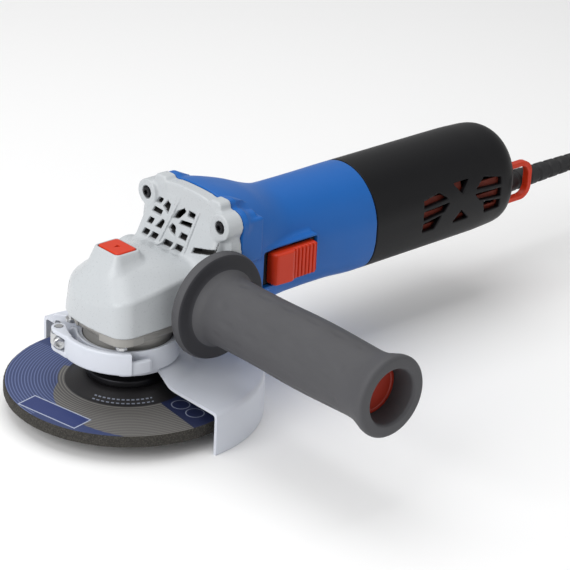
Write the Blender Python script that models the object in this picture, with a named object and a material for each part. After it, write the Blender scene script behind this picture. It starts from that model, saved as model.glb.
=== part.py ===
"""Angle grinder for 125 mm discs, modelled as separate pieces around its three working axes.

Lengths are written in millimetres and scaled to metres when a mesh is made.  Every piece hangs from
the empty "spindle_zero", whose origin is the crossing of the spindle's axis with the top face of the
disc.  From there +X runs back along the motor to the cable, +Z is up through the gear housing, and
the side handle points to -Y.
"""
import math

import bmesh
import bpy
from mathutils import Matrix, Vector

MM = 0.001

# Where the spindle's axis stands in the part's own frame.
SPINDLE_X = -139.75
SPINDLE_Y = 45.8
DISC_TOP = 14.0

# Grinding disc, flanges and spindle
DISC_R = 62.5
DISC_T = 6.0
DISC_BORE_R = 11.25
HUB_RISE = 5.0
FLANGE_R = 21.0
SPINDLE_R = 6.0
THREAD_R = 7.0
THREAD_END = -9.2
GAP = 0.3

# Bevel gears: tooth counts, pitch radii at the outer and inner ends of the teeth
CROWN_TEETH = 24
PINION_TEETH = 8
CROWN_OUTER_R = 19.2
CROWN_INNER_R = 14.2

# Motor axis and housings
MOTOR_Z = 55.0
FLOOR_Z = 38.0
SHOULDER_Z = 57.5
ROOF_Z = 72.5
NOSE_FRONT = -26.0
NOSE_HALF = 27.0
WALL_FOOT_X = 25.0
WALL_FOOT_Z = 62.0
WALL_LEAN = 0.49
FLANGE_FRONT = 36.5
FLANGE_REAR = 43.2
SCREW_Y = 28.5
SCREW_UP = 29.5
SCREW_SPOTS = ((-SCREW_Y, SCREW_UP), (SCREW_Y, SCREW_UP), (-SCREW_Y, -SCREW_UP), (SCREW_Y, -SCREW_UP))
JOINT_X = 145.2
REAR_X = 258.0

# Side handle
HANDLE_X = 26.0
HANDLE_Z = 48.0
HANDLE_FACE = -35.5
HANDLE_END = -161.5
HANDLE_BORE_R = 13.8

# Guard and clamp
GUARD_R = 70.0
GUARD_SHEET = 1.8
GUARD_TOP = 9.0
GUARD_RIM = -14.0
NECK_R = 22.5
BAND_R = 26.2
LEVER_PIN_R = 34.5
LEVER_PIN_ANGLE = 145.0

# Lock button, switch slider and cable
BUTTON_X = -7.75
LOCK_PIN_X = -11.2
SLIDER_X = 81.5
SLIDER_Z = 54.3
CORD_Z = 41.0
CORD_R = 3.9
SLEEVE_END = 342.0
COIL_X = 436.0
COIL_Y = -50.0
COIL_R = 43.0
COIL_HALF_WIDTH = 16.0
COIL_HEIGHT = 16.0
PLUG_START = 32.0


def clear_objects():
    for obj in list(bpy.data.objects):
        bpy.data.objects.remove(obj, do_unlink=True)


def material(name, rgb, roughness, metallic=0.0):
    mat = bpy.data.materials.get(name)
    if mat:
        return mat
    mat = bpy.data.materials.new(name)
    mat.use_nodes = True
    shader = mat.node_tree.nodes["Principled BSDF"]
    shader.inputs["Base Color"].default_value = (*rgb, 1.0)
    shader.inputs["Roughness"].default_value = roughness
    shader.inputs["Metallic"].default_value = metallic
    mat.diffuse_color = (*rgb, 1.0)
    return mat


def empty(name, place, parent=None):
    pivot = bpy.data.objects.new(name, None)
    bpy.context.collection.objects.link(pivot)
    pivot.location = [v * MM for v in place]
    pivot.parent = parent
    return pivot


def add_object(name, bm, mat, parent, place=(0, 0, 0), sharp=40):
    """Link a mesh given in millimetres; place is the piece's origin under its parent."""
    bmesh.ops.scale(bm, vec=(MM, MM, MM), verts=bm.verts)
    bmesh.ops.recalc_face_normals(bm, faces=bm.faces)
    mesh = bpy.data.meshes.new(name)
    bm.to_mesh(mesh)
    bm.free()
    mesh.shade_smooth()
    mesh.set_sharp_from_angle(angle=math.radians(sharp))
    obj = bpy.data.objects.new(name, mesh)
    bpy.context.collection.objects.link(obj)
    obj.location = [v * MM for v in place]
    obj.parent = parent
    if mat:
        mesh.materials.append(mat)
    return obj


def move_mesh(bm, matrix):
    bmesh.ops.transform(bm, matrix=matrix, verts=bm.verts)
    return bm


def turned(profile, steps=32, sweep=360.0, start=0.0):
    """Spin an (r, z) outline about Z; the outline is closed unless both its ends lie on the axis."""
    bm = bmesh.new()
    turn = Matrix.Rotation(math.radians(start), 4, "Z")
    verts = [bm.verts.new(turn @ Vector((r, 0, z))) for r, z in profile]
    closed = not (profile[0][0] == 0 and profile[-1][0] == 0)
    count = len(verts)
    edges = [bm.edges.new((verts[i], verts[(i + 1) % count])) for i in range(count if closed else count - 1)]
    full = sweep >= 360.0
    if full:
        bmesh.ops.spin(bm, geom=verts + edges, axis=(0, 0, 1), cent=(0, 0, 0),
                       angle=2 * math.pi, steps=steps, use_merge=True)
    else:
        cap = bm.faces.new(verts)
        bmesh.ops.spin(bm, geom=verts + edges + [cap], axis=(0, 0, 1), cent=(0, 0, 0),
                       angle=math.radians(sweep), steps=steps)
    bmesh.ops.remove_doubles(bm, verts=bm.verts, dist=0.001)
    return bm


def along_x(bm, x=0.0, z=MOTOR_Z):
    """Turn a piece made about Z so that it lies about the motor's axis, its z running to +X."""
    return move_mesh(bm, Matrix.Translation((x, 0, z)) @ Matrix.Rotation(math.radians(90), 4, "Y"))


def prism(outline, low, high, axis="Z"):
    """Extrude a closed outline from low to high along one axis.

    The outline's two numbers are x, y for axis Z; y, z for axis X; and x, z for axis Y.
    """
    places = {"Z": lambda a, b: (a, b, low), "X": lambda a, b: (low, a, b), "Y": lambda a, b: (a, low, b)}
    steps = {"Z": (0, 0, high - low), "X": (high - low, 0, 0), "Y": (0, high - low, 0)}
    bm = bmesh.new()
    face = bm.faces.new([bm.verts.new(places[axis](a, b)) for a, b in outline])
    grown = bmesh.ops.extrude_face_region(bm, geom=[face])["geom"]
    bmesh.ops.translate(bm, vec=steps[axis], verts=[g for g in grown if isinstance(g, bmesh.types.BMVert)])
    return bm


def block(low, high):
    bm = bmesh.new()
    size = [h - l for l, h in zip(low, high)]
    mid = [(h + l) / 2 for l, h in zip(low, high)]
    bmesh.ops.create_cube(bm, size=1.0)
    bmesh.ops.scale(bm, vec=size, verts=bm.verts)
    bmesh.ops.translate(bm, vec=mid, verts=bm.verts)
    return bm


def loft(rings):
    """Join rings of equal length, one after the other, and close both ends."""
    bm = bmesh.new()
    rows = [[bm.verts.new(p) for p in ring] for ring in rings]
    count = len(rows[0])
    for low, high in zip(rows, rows[1:]):
        for i in range(count):
            j = (i + 1) % count
            bm.faces.new((low[i], low[j], high[j], high[i]))
    bm.faces.new(rows[0])
    bm.faces.new(rows[-1])
    return bm


def tube_loft(outer, inner):
    """A hollow loft, open at both ends: rings outside, the same number of points inside."""
    bm = bmesh.new()
    rows = [[bm.verts.new(p) for p in ring] for ring in list(outer) + list(reversed(inner))]
    count = len(rows[0])
    for low, high in zip(rows, rows[1:] + rows[:1]):
        for i in range(count):
            j = (i + 1) % count
            bm.faces.new((low[i], low[j], high[j], high[i]))
    return bm


def join_meshes(*parts):
    """Put several closed meshes into one; they are made one body by a union afterwards."""
    bm = bmesh.new()
    for part in parts:
        mesh = bpy.data.meshes.new("tmp")
        part.to_mesh(mesh)
        part.free()
        bm.from_mesh(mesh)
        bpy.data.meshes.remove(mesh)
    return bm


def helper(name, bm, parent):
    tool = add_object(name, bm, None, parent)
    tool.hide_render = True
    tool.display_type = "WIRE"
    tool.hide_viewport = False
    return tool


def boolean(obj, bm, operation="DIFFERENCE"):
    """Cut, or unite with, a mesh in the same millimetre frame as the object's parent."""
    number = len(obj.modifiers)
    tool = helper(f"tool_{obj.name}_{number}", bm, obj.parent)
    mod = obj.modifiers.new(f"{operation.lower()}_{number}", "BOOLEAN")
    mod.operation = operation
    mod.solver = "EXACT"
    mod.object = tool
    return obj


def rounded_box(x0, x1, y0, y1, radius, steps=3):
    """Outline of a rectangle with round corners, counter-clockwise."""
    points = []
    for cx, cy, begin in ((x1 - radius, y1 - radius, 0), (x0 + radius, y1 - radius, 90),
                          (x0 + radius, y0 + radius, 180), (x1 - radius, y0 + radius, 270)):
        for i in range(steps + 1):
            a = math.radians(begin + 90 * i / steps)
            points.append((cx + radius * math.cos(a), cy + radius * math.sin(a)))
    return points


def round_section(half_width, top, bottom, n_top, n_bottom, centre, count=32):
    """Superellipse (y, z) outline with its own power above and below its centre."""
    points = []
    for i in range(count):
        a = 2 * math.pi * (i + 0.5) / count
        c, s = math.cos(a), math.sin(a)
        power = 2 / (n_top if s > 0 else n_bottom)
        height = top if s > 0 else bottom
        points.append((half_width * math.copysign(abs(c) ** power, c),
                       centre + height * math.copysign(abs(s) ** power, s)))
    return points


def ring_at(x, section):
    return [(x, y, z) for y, z in section]


def helix(radius, wire, length, turns, per_turn=10, sides=6):
    """Open coil of round wire about Z from z = 0 to length, with flat cut ends."""
    steps = int(turns * per_turn)
    rise = (length - 2 * wire) / steps
    rings = []
    for i in range(steps + 1):
        a = 2 * math.pi * i / per_turn
        centre = Vector((radius * math.cos(a), radius * math.sin(a), wire + rise * i))
        out = Vector((math.cos(a), math.sin(a), 0))
        up = Vector((0, 0, 1))
        rings.append([centre + out * wire * math.cos(t) + up * wire * math.sin(t)
                      for t in [2 * math.pi * k / sides for k in range(sides)]])
    return loft(rings)


# --- gears -------------------------------------------------------------------------------------------
def bevel_gear(teeth, outer_r, inner_r, mate_teeth, back, hub_r, bore_r):
    """Straight bevel gear about Z with its cone's apex at the origin and its teeth facing +Z.

    Each tooth is four points on a ring; the ring at the inner end is the outer one shrunk to the apex.
    """
    cone = math.atan2(teeth, mate_teeth)
    module = 2 * outer_r / teeth
    along = Vector((math.sin(cone), -math.cos(cone)))
    away = Vector((math.cos(cone), math.sin(cone)))
    distance = outer_r / math.sin(cone)
    scale = inner_r / outer_r

    def ring(shrink):
        points = []
        for i in range(teeth):
            for part, lift in ((-0.30, -1.15), (-0.14, 0.75), (0.14, 0.75), (0.30, -1.15)):
                a = 2 * math.pi * (i + part) / teeth
                spot = (along * distance + away * module * lift) * shrink
                points.append((spot.x * math.cos(a), spot.x * math.sin(a), spot.y))
        return points

    def flat_ring(radius, z):
        points = []
        for i in range(teeth):
            for part in (-0.30, -0.14, 0.14, 0.30):
                a = 2 * math.pi * (i + part) / teeth
                points.append((radius * math.cos(a), radius * math.sin(a), z))
        return points

    root = (along * distance - away * module * 1.15) * scale
    rows = [flat_ring(bore_r, back), flat_ring(outer_r - module, back), ring(1.0), ring(scale),
            flat_ring(hub_r, root.y - 0.6), flat_ring(bore_r, root.y - 0.6)]
    bm = bmesh.new()
    verts = [[bm.verts.new(p) for p in row] for row in rows]
    count = len(verts[0])
    for low, high in zip(verts, verts[1:] + verts[:1]):
        for i in range(count):
            j = (i + 1) % count
            bm.faces.new((low[i], low[j], high[j], high[i]))
    return bm


# --- the spindle and what turns with it --------------------------------------------------------------
def build_spindle(pivot):
    steel = material("ground_steel", (0.55, 0.55, 0.56), 0.3, 1.0)
    dark = material("black_oxide_steel", (0.05, 0.05, 0.055), 0.4, 0.8)
    add_object("spindle", turned([(0, THREAD_END), (THREAD_R - 0.8, THREAD_END), (THREAD_R, THREAD_END + 0.8),
                                  (THREAD_R, 11.8), (9.0, 11.8), (9.0, 19.0), (SPINDLE_R, 19.0),
                                  (SPINDLE_R, 50.5), (4.0, 50.5), (4.0, 61.0), (0, 61.0)], 24), steel, pivot)
    flange_low = HUB_RISE + GAP
    add_object("inner_flange", turned([(THREAD_R + 0.1, flange_low), (FLANGE_R, flange_low), (FLANGE_R, 8.4),
                                       (16.5, 11.4), (THREAD_R + 0.1, 11.4)], 32), dark, pivot)
    nut_top = HUB_RISE - DISC_T - GAP
    add_object("flange_nut", turned([(THREAD_R + 0.1, nut_top), (THREAD_R + 0.1, -7.6), (16.0, -7.6),
                                     (20.0, -6.2), (20.0, nut_top)], 32), dark, pivot)
    grit = material("disc_abrasive", (0.045, 0.042, 0.04), 0.95)
    profile = [(DISC_BORE_R, HUB_RISE), (23.5, HUB_RISE), (31.0, 0.0), (DISC_R, 0.0), (DISC_R, -DISC_T),
               (31.0, -DISC_T), (23.5, HUB_RISE - DISC_T), (DISC_BORE_R, HUB_RISE - DISC_T)]
    add_object("grinding_disc", turned(profile, 48), grit, pivot)
    gear = bevel_gear(CROWN_TEETH, CROWN_OUTER_R, CROWN_INNER_R, PINION_TEETH, -11.0, 9.0, SPINDLE_R + 0.1)
    move_mesh(gear, Matrix.Translation((0, 0, MOTOR_Z)))
    crown = add_object("crown_gear", gear, steel, pivot)
    for quarter in range(4):
        a = math.radians(90 * quarter)
        hole = turned([(0, 40), (2.6, 40), (2.6, 56), (0, 56)], 12)
        centre = (-LOCK_PIN_X * math.cos(a), -LOCK_PIN_X * math.sin(a), 0)
        boolean(crown, move_mesh(hole, Matrix.Translation(centre)))


# --- the armature ------------------------------------------------------------------------------------
def build_armature(pivot):
    steel = material("ground_steel", (0.55, 0.55, 0.56), 0.3, 1.0)
    lamination = material("lamination_steel", (0.32, 0.32, 0.33), 0.5, 0.9)
    copper = material("enamelled_copper", (0.55, 0.2, 0.08), 0.35, 0.8)
    nylon = material("fan_nylon", (0.04, 0.04, 0.045), 0.5)
    shaft = turned([(0, 13.0), (2.6, 13.0), (2.6, 23.2), (5.0, 23.2), (5.0, 141.0), (3.5, 141.0),
                    (3.5, 152.0), (0, 152.0)], 20)
    add_object("armature_shaft", along_x(shaft, z=0), steel, pivot)
    gear = bevel_gear(PINION_TEETH, CROWN_OUTER_R * PINION_TEETH / CROWN_TEETH,
                      CROWN_INNER_R * PINION_TEETH / CROWN_TEETH, CROWN_TEETH, -22.6, 3.2, 2.8)
    # The tooth row faces the spindle; half a tooth of turn puts a gap over the crown gear's tooth.
    gear = move_mesh(gear, Matrix.Rotation(math.radians(180), 4, "Y"))
    gear = move_mesh(gear, Matrix.Rotation(math.radians(180 / PINION_TEETH), 4, "Z"))
    add_object("pinion", along_x(gear, z=0), steel, pivot)
    add_object("armature_core", along_x(turned([(9.6, 75), (9.6, 115), (14.4, 115), (14.4, 75)], 24), z=0),
               lamination, pivot)
    winding = [(5.3, 67.5), (5.3, 123.5), (11.0, 123.5), (12.8, 121.0), (12.8, 115.4), (9.2, 115.4),
               (9.2, 74.6), (12.8, 74.6), (12.8, 69.5), (11.0, 67.5)]
    add_object("armature_windings", along_x(turned(winding, 20), z=0), copper, pivot)
    bars = turned([(5.3, 126), (5.3, 139.5), (11.0, 139.5), (11.0, 128.0), (12.2, 128.0), (12.2, 126)], 24)
    add_object("commutator", along_x(bars, z=0), copper, pivot)
    build_fan(pivot, nylon)


def build_fan(pivot, nylon):
    """Back plate and hub with eleven radial blades towards the gear housing."""
    fan = add_object("fan", along_x(turned([(5.3, 45.5), (5.3, 57.0), (27.0, 57.0), (28.5, 55.4), (9.0, 55.0),
                                            (9.0, 45.5)], 24), z=0), nylon, pivot)
    blades = 11
    for i in range(blades):
        blade = block((46.0, 8.0, -0.7), (55.8, 27.5, 0.7))
        turn = Matrix.Rotation(2 * math.pi * i / blades, 4, "X")
        boolean(fan, move_mesh(blade, turn), "UNION")


def at_screw(bm, y, dz):
    """Turn a piece made about Z to lie along one of the four housing screws."""
    return move_mesh(along_x(bm, z=MOTOR_Z + dz), Matrix.Translation((0, y, 0)))


# --- gear housing ------------------------------------------------------------------------------------
def wall_x(z):
    return WALL_FOOT_X + WALL_LEAN * (z - WALL_FOOT_Z)


def build_gear_housing(root):
    """White casting: nose over the gears, vented wall leaning back to the flange, boss for the button."""
    white = material("painted_casting", (0.62, 0.64, 0.66), 0.35)
    rings = []
    for z, front, side, back, radius in ((FLOOR_Z, NOSE_FRONT, NOSE_HALF, 38, 7.5),
                                         (SHOULDER_Z - 2.5, NOSE_FRONT + 0.6, NOSE_HALF - 0.8, 38, 8.0),
                                         (SHOULDER_Z, NOSE_FRONT + 1.6, NOSE_HALF - 2.0, 38, 8.5),
                                         (61.0, NOSE_FRONT + 3.7, 23.0, 34, 9.0),
                                         (65.0, NOSE_FRONT + 6.0, 18.2, 22.7, 8.0),
                                         (69.0, NOSE_FRONT + 8.3, 13.2, 13.0, 7.0),
                                         (ROOF_Z, NOSE_FRONT + 10.4, 9.0, 4.4, 6.0)):
        rings.append([(x, y, z) for x, y in rounded_box(front, back, -side, side, radius)])
    housing = add_object("gear_housing", loft(rings), white, root, sharp=50)

    wedge = [(17.5, 50.5), (22.0, 60.5), (wall_x(WALL_FOOT_Z), WALL_FOOT_Z), (wall_x(93.0), 93.0),
             (46.1, 93.5), (46.1, 50.5)]
    boolean(housing, prism(wedge, -20.0, 20.0, "Y"), "UNION")
    side = [(18.0, 50.0), (22.5, 60.0), (wall_x(WALL_FOOT_Z), WALL_FOOT_Z), (wall_x(80.0), 80.0),
            (45.7, 80.0), (45.7, 50.0)]
    boolean(housing, prism(side, -29.5, 29.5, "Y"), "UNION")

    outline = round_section(34.0, 36.0, 36.0, 3.0, 3.0, 59.0, 40)
    boolean(housing, prism(outline, FLANGE_FRONT, 45.0, "X"), "UNION")
    lug = [(0, 33.5), (6.2, 33.5), (6.6, 34.2), (6.6, 45.4), (0, 45.4)]
    boolean(housing, join_meshes(*[at_screw(turned(lug, 16), y, dz) for y, dz in SCREW_SPOTS]), "UNION")
    for turn in (90, -90):
        face = turned([(0, 26), (12.5, 26), (12.5, 34.0), (11.3, 35.2), (0, 35.2)], 20)
        matrix = Matrix.Translation((HANDLE_X, 0, HANDLE_Z)) @ Matrix.Rotation(math.radians(turn), 4, "X")
        boolean(housing, move_mesh(face, matrix), "UNION")
    boss = []
    for z, grow, radius in ((62.0, 6.8, 8.0), (66.0, 5.1, 6.0), (70.0, 3.4, 4.0), (74.2, 1.7, 3.0), (75.0, 1.3, 2.6)):
        outline = rounded_box(BUTTON_X - 6.3 - grow, BUTTON_X + 6.3 + grow, -8.0 - grow, 8.0 + grow, radius)
        boss.append([(x, y, z) for x, y in outline])
    boolean(housing, loft(boss), "UNION")

    boolean(housing, block((FLANGE_REAR, -60, 0), (60, 60, 120)))
    cut_gear_chamber(housing)
    cut_vents(housing)


def cut_gear_chamber(housing):
    """Chamber for the gears, bearing seats, button well, screw holes and the duct behind the wall."""
    chamber = []
    for z, x0, x1, side, cut in ((FLOOR_Z - 2, -22.5, 22.4, 23.6, 12.0), (55.5, -22.3, 22.4, 23.4, 12.0),
                                 (61.5, -12.0, 20.0, 13.0, 7.0)):
        chamber.append([(x0 + cut, -side, z), (x1 - cut, -side, z), (x1, -side + cut, z), (x1, side - cut, z),
                        (x1 - cut, side, z), (x0 + cut, side, z), (x0, side - cut, z), (x0, -side + cut, z)])
    boolean(housing, loft(chamber))
    boolean(housing, turned([(0, 54.0), (9.3, 54.0), (9.3, 63.0), (0, 63.0)], 16), "UNION")
    boolean(housing, turned([(0, 50.0), (6.8, 50.0), (6.8, 62.0), (0, 62.0)], 16))
    seat = [(0, 10), (8.0, 10), (8.0, 29.9), (13.4, 29.9), (13.4, 46), (0, 46)]
    boolean(housing, along_x(turned(seat, 24)))
    well = rounded_box(BUTTON_X - 6.7, BUTTON_X + 6.7, -8.4, 8.4, 2.0)
    boolean(housing, prism(well, 66.6, 78.0))
    pin = turned([(0, 50.0), (2.4, 50.0), (2.4, 68.0), (0, 68.0)], 16)
    boolean(housing, move_mesh(pin, Matrix.Translation((LOCK_PIN_X, 0, 0))))
    duct = turned([(18.0, 33.5), (18.0, 46.0), (31.0, 46.0), (31.0, 40.3)], 12, 180.0, 90.0)
    boolean(housing, along_x(duct))
    hole = [(0, 30.0), (3.4, 30.0), (3.4, 35.5), (2.35, 35.5), (2.35, 46.3), (0, 46.3)]
    boolean(housing, join_meshes(*[at_screw(turned(hole, 10, 360.0, 5.0), y, dz) for y, dz in SCREW_SPOTS]))
    for turn in (90, -90):
        hole = turned([(0, 24.5), (4.4, 24.5), (4.4, 40), (0, 40)], 14)
        matrix = Matrix.Translation((HANDLE_X, 0, HANDLE_Z)) @ Matrix.Rotation(math.radians(turn), 4, "X")
        boolean(housing, move_mesh(hole, matrix))
    for x in (-20.0, 20.0):
        for y in (-20.0, 20.0):
            hole = turned([(0, 36.0), (2.2, 36.0), (2.2, 47.0), (0, 47.0)], 8)
            boolean(housing, move_mesh(hole, Matrix.Translation((x, y, 0))))


def cut_vents(housing):
    """Rows of slots through the leaning wall, as (y, z) outlines read on the wall's plane."""
    rows = (65.3, 70.9, 76.7, 81.4)
    vents = [[(23.4, rows[0]), (22.7, rows[0] + 2.7), (18.6, rows[0] + 2.7), (19.3, rows[0])],
             [(17.0, rows[0]), (16.2, rows[0] + 2.7), (11.8, rows[0] + 2.7), (12.4, rows[0])],
             [(22.8, rows[1]), (22.0, rows[1] + 2.6), (18.7, rows[1] + 2.6), (19.4, rows[1])],
             [(15.9, rows[1]), (13.0, rows[1] + 4.2), (11.2, rows[1] + 3.6), (11.9, rows[1])],
             [(22.2, rows[2]), (21.5, rows[2] + 2.2), (15.3, rows[2] + 1.8), (15.4, rows[2] - 0.3)],
             [(21.3, rows[3]), (20.2, rows[3] + 2.4), (17.5, rows[3] + 2.4), (18.6, rows[3])],
             [(15.9, rows[3] - 0.6), (14.0, rows[3] + 2.5), (11.5, rows[3] + 1.3), (11.2, rows[3] - 3.0)],
             [(7.0, rows[0] - 0.6), (6.2, rows[0] + 2.2), (0.2, rows[0] + 2.2), (0.3, rows[0] - 0.2)],
             [(-2.1, rows[0]), (-2.6, rows[0] + 2.6), (-7.8, rows[0] + 2.7), (-7.9, rows[0])],
             [(6.4, rows[1] + 2.2), (5.4, rows[1] + 4.5), (2.3, rows[1] + 3.5), (0.8, rows[1]), (4.5, rows[1] + 0.8)],
             [(-2.3, rows[1]), (-2.9, rows[1] + 2.5), (-8.2, rows[1] + 2.5), (-8.2, rows[1])],
             [(0.8, rows[2]), (0.0, rows[2] + 1.7), (-7.7, rows[2] + 2.5), (-7.7, rows[2] + 0.6)],
             [(6.1, rows[3] - 3.2), (5.1, rows[3]), (1.0, rows[3] + 2.5), (-0.5, rows[3] + 1.7), (2.6, rows[3] - 2.6)],
             [(-2.8, rows[3]), (-2.7, rows[3] + 2.5), (-7.5, rows[3] + 2.3), (-7.9, rows[3])],
             [(-14.6, 67.4), (-14.8, 69.8), (-27.6, 72.4), (-27.6, 70.4)]]
    cutters = []
    for outline in vents:
        low = min(z for _, z in outline)
        cutters.append(prism(outline, wall_x(low) - 4.0, wall_x(low) + 5.2, "X"))
    boolean(housing, join_meshes(*cutters))


def build_screws(root):
    black = material("black_oxide_steel", (0.05, 0.05, 0.055), 0.4, 0.8)
    head = [(0, 33.0), (2.6, 33.0), (3.0, 33.8), (3.0, 35.2), (2.0, 35.2), (2.0, 52.0), (0, 52.0)]
    for number, (y, dz) in enumerate(SCREW_SPOTS, 1):
        add_object(f"housing_screw_{number}", along_x(turned(head, 10), z=0), black, root,
                   (0, y, MOTOR_Z + dz))
    steel = material("zinc_steel", (0.6, 0.6, 0.6), 0.35, 1.0)
    low = [(0, 30.6), (3.2, 30.6), (3.2, 32.2), (1.9, 32.2), (1.9, 45.5), (0, 45.5)]
    for number, (x, y) in enumerate(((-20, -20), (20, -20), (20, 20), (-20, 20)), 1):
        add_object(f"cover_screw_{number}", turned(low, 10), steel, root, (x, y, 0))


def build_bearing_cover(root):
    """Bare metal plate under the gear housing with the neck that carries the guard."""
    alloy = material("bare_alloy", (0.45, 0.44, 0.42), 0.5, 0.9)
    plate = [[(x, y, z) for x, y in rounded_box(-25.0 + inset, 25.0 - inset, -25.6 + inset, 25.6 - inset, 7.0)]
             for z, inset in ((32.5, 1.2), (33.6, 0.2), (FLOOR_Z - GAP, 0.0))]
    cover = add_object("bearing_cover", loft(plate), alloy, root)
    boolean(cover, turned([(0, 12.6), (NECK_R - 0.6, 12.6), (NECK_R, 13.2), (NECK_R, 35.0), (0, 35.0)], 32), "UNION")
    boolean(cover, turned([(0, 10), (9.6, 10), (9.6, 20.4), (16.1, 20.4), (16.1, 30.8), (13.0, 30.8),
                           (13.0, 40), (0, 40)], 24))
    for x in (-20.0, 20.0):
        for y in (-20.0, 20.0):
            hole = turned([(0, 30.0), (2.2, 30.0), (2.2, 40.0), (0, 40.0)], 8)
            boolean(cover, move_mesh(hole, Matrix.Translation((x, y, 0))))
    steel = material("ground_steel", (0.55, 0.55, 0.56), 0.3, 1.0)
    add_object("spindle_bearing", turned([(6.1, 20.8), (6.1, 30.5), (15.9, 30.5), (15.9, 20.8)], 20), steel, root)
    add_object("spindle_bush", turned([(4.1, 54.2), (4.1, 61.5), (6.6, 61.5), (6.6, 54.2)], 16), steel, root)
    add_object("front_bearing", along_x(turned([(5.1, 30.2), (5.1, 38.9), (13.1, 38.9), (13.1, 30.2)], 20)),
               steel, root)


# --- motor housing and rear cover --------------------------------------------------------------------
def grip_section(x, shrink=0.0):
    """Section of the motor housing's outer skin at x, or of its inner skin when shrink is given."""
    stations = ((43.5, 34.3, 37.0, 36.0, 59.0, 3.0, 3.0), (56.0, 34.3, 37.0, 36.0, 59.0, 3.0, 3.0),
                (66.0, 31.6, 34.5, 33.0, 58.0, 2.7, 2.9), (76.0, 28.2, 30.6, 30.0, 56.3, 2.3, 2.8),
                (88.0, 26.9, 28.2, 28.0, MOTOR_Z, 2.0, 2.7), (118.0, 26.9, 28.0, 27.9, MOTOR_Z, 2.0, 2.7),
                (134.0, 28.0, 29.2, 29.2, MOTOR_Z, 2.0, 2.7), (JOINT_X, 28.0, 29.2, 29.2, MOTOR_Z, 2.0, 2.7))
    for low, high in zip(stations, stations[1:]):
        if low[0] <= x <= high[0]:
            t = (x - low[0]) / (high[0] - low[0])
            half, top, bottom, centre, n_top, n_bottom = [a + (b - a) * t for a, b in zip(low[1:], high[1:])]
            return round_section(half - shrink, top - shrink, bottom - shrink, n_top, n_bottom, centre)
    raise ValueError(x)


def build_motor_housing(root):
    blue = material("blue_housing", (0.03, 0.14, 0.45), 0.45)
    spots = (43.5, 56.0, 61.0, 66.0, 71.0, 76.0, 82.0, 88.0, 118.0, 126.0, 134.0, JOINT_X)
    outer = [ring_at(x, grip_section(x)) for x in spots]
    inner = [ring_at(x, grip_section(x, 2.9)) for x in (43.5, 56.0, 66.0, 76.0, 88.0, 118.0, 134.0, JOINT_X)]
    shell = add_object("motor_housing", tube_loft(outer, inner), blue, root, sharp=50)
    seat = turned([(12.9, 142.2), (12.9, JOINT_X), (25.8, JOINT_X), (25.8, 142.2)], 24)
    boolean(shell, along_x(seat), "UNION")
    for y, z in ((-18.5, 42.0), (-18.5, 60.5), (9.0, 42.0), (9.0, 60.5)):
        boolean(shell, block((140, y, z), (147, y + 9.5, z + 7.5)))
    boolean(shell, block((140, -23.5, 59.6), (147, -19.5, 65.4)))
    pad = block((59.4, -31.2, 43.5), (99.5, -24.6, 66.0))
    boolean(shell, pad, "UNION")
    boolean(shell, block((61.0, -40.0, 45.0), (98.5, -28.4, 64.6)))
    boolean(shell, block((66.5, -30.0, 57.6), (90.0, -20.0, 65.0)))
    post = [(0, 43.8), (4.6, 43.8), (4.6, 55.0), (0, 55.0)]
    boolean(shell, join_meshes(*[at_screw(turned(post, 10), y, dz) for y, dz in SCREW_SPOTS]), "UNION")
    hole = [(0, 42), (2.3, 42), (2.3, 53.5), (0, 53.5)]
    boolean(shell, join_meshes(*[at_screw(turned(hole, 8), y, dz) for y, dz in SCREW_SPOTS]))
    baffle = turned([(12.0, 57.4), (12.0, 59.0), (28.3, 59.0), (28.3, 57.4)], 24)
    add_object("fan_baffle", along_x(baffle), material("fan_nylon", (0.04, 0.04, 0.045), 0.5), root)


def build_rear_cover(root):
    """Black cup behind the joint, with crossed vents on both sides and the cable's exit in its end."""
    black = material("black_cover", (0.018, 0.018, 0.022), 0.45)
    stations = ((JOINT_X + GAP, 0.0), (170.0, 0.0), (230.0, 0.2), (248.0, 0.8), (254.5, 2.6), (REAR_X, 7.5))
    outer = [ring_at(x, round_section(28.0 - s, 29.2 - s, 29.2 - s, 2.0, 2.7, MOTOR_Z)) for x, s in stations]
    cover = add_object("rear_cover", loft(outer), black, root, sharp=50)
    inner = [ring_at(x, round_section(28.0 - s, 29.2 - s, 29.2 - s, 2.0, 2.7, MOTOR_Z))
             for x, s in ((JOINT_X - 2, 2.8), (245.0, 3.4), (252.0, 6.5), (254.8, 10.0))]
    boolean(cover, loft(inner))
    vents = [[(181.0, 44.0), (181.0, 48.5), (194.0, 50.5), (190.0, 44.0)],
             [(181.0, 51.0), (181.0, 55.5), (200.0, 56.5), (196.5, 52.6)],
             [(181.0, 58.0), (181.0, 61.5), (192.5, 63.5), (198.5, 59.5)],
             [(204.5, 44.0), (216.0, 44.0), (210.2, 49.6)],
             [(204.5, 66.0), (216.0, 66.0), (210.2, 59.8)],
             [(241.5, 44.0), (241.5, 48.5), (228.0, 50.5), (229.5, 44.0)],
             [(241.5, 51.0), (241.5, 55.5), (221.0, 56.5), (224.5, 52.6)],
             [(241.5, 58.0), (241.5, 61.5), (228.0, 64.5), (221.5, 59.5)]]
    for side in (-1, 1):
        for outline in vents:
            boolean(cover, prism(outline, 20.0 * side, 40.0 * side, "Y"))
    exit_hole = turned([(0, 240.0), (6.6, 240.0), (6.6, 262.0), (0, 262.0)], 20)
    boolean(cover, along_x(exit_hole, z=CORD_Z))
    foot = block((250.0, -12.4, 34.0), (262.0, -7.3, 37.3))
    boolean(cover, foot)
    foot = block((250.0, -12.4, 54.7), (262.0, -7.3, 58.0))
    boolean(cover, foot)


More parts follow.
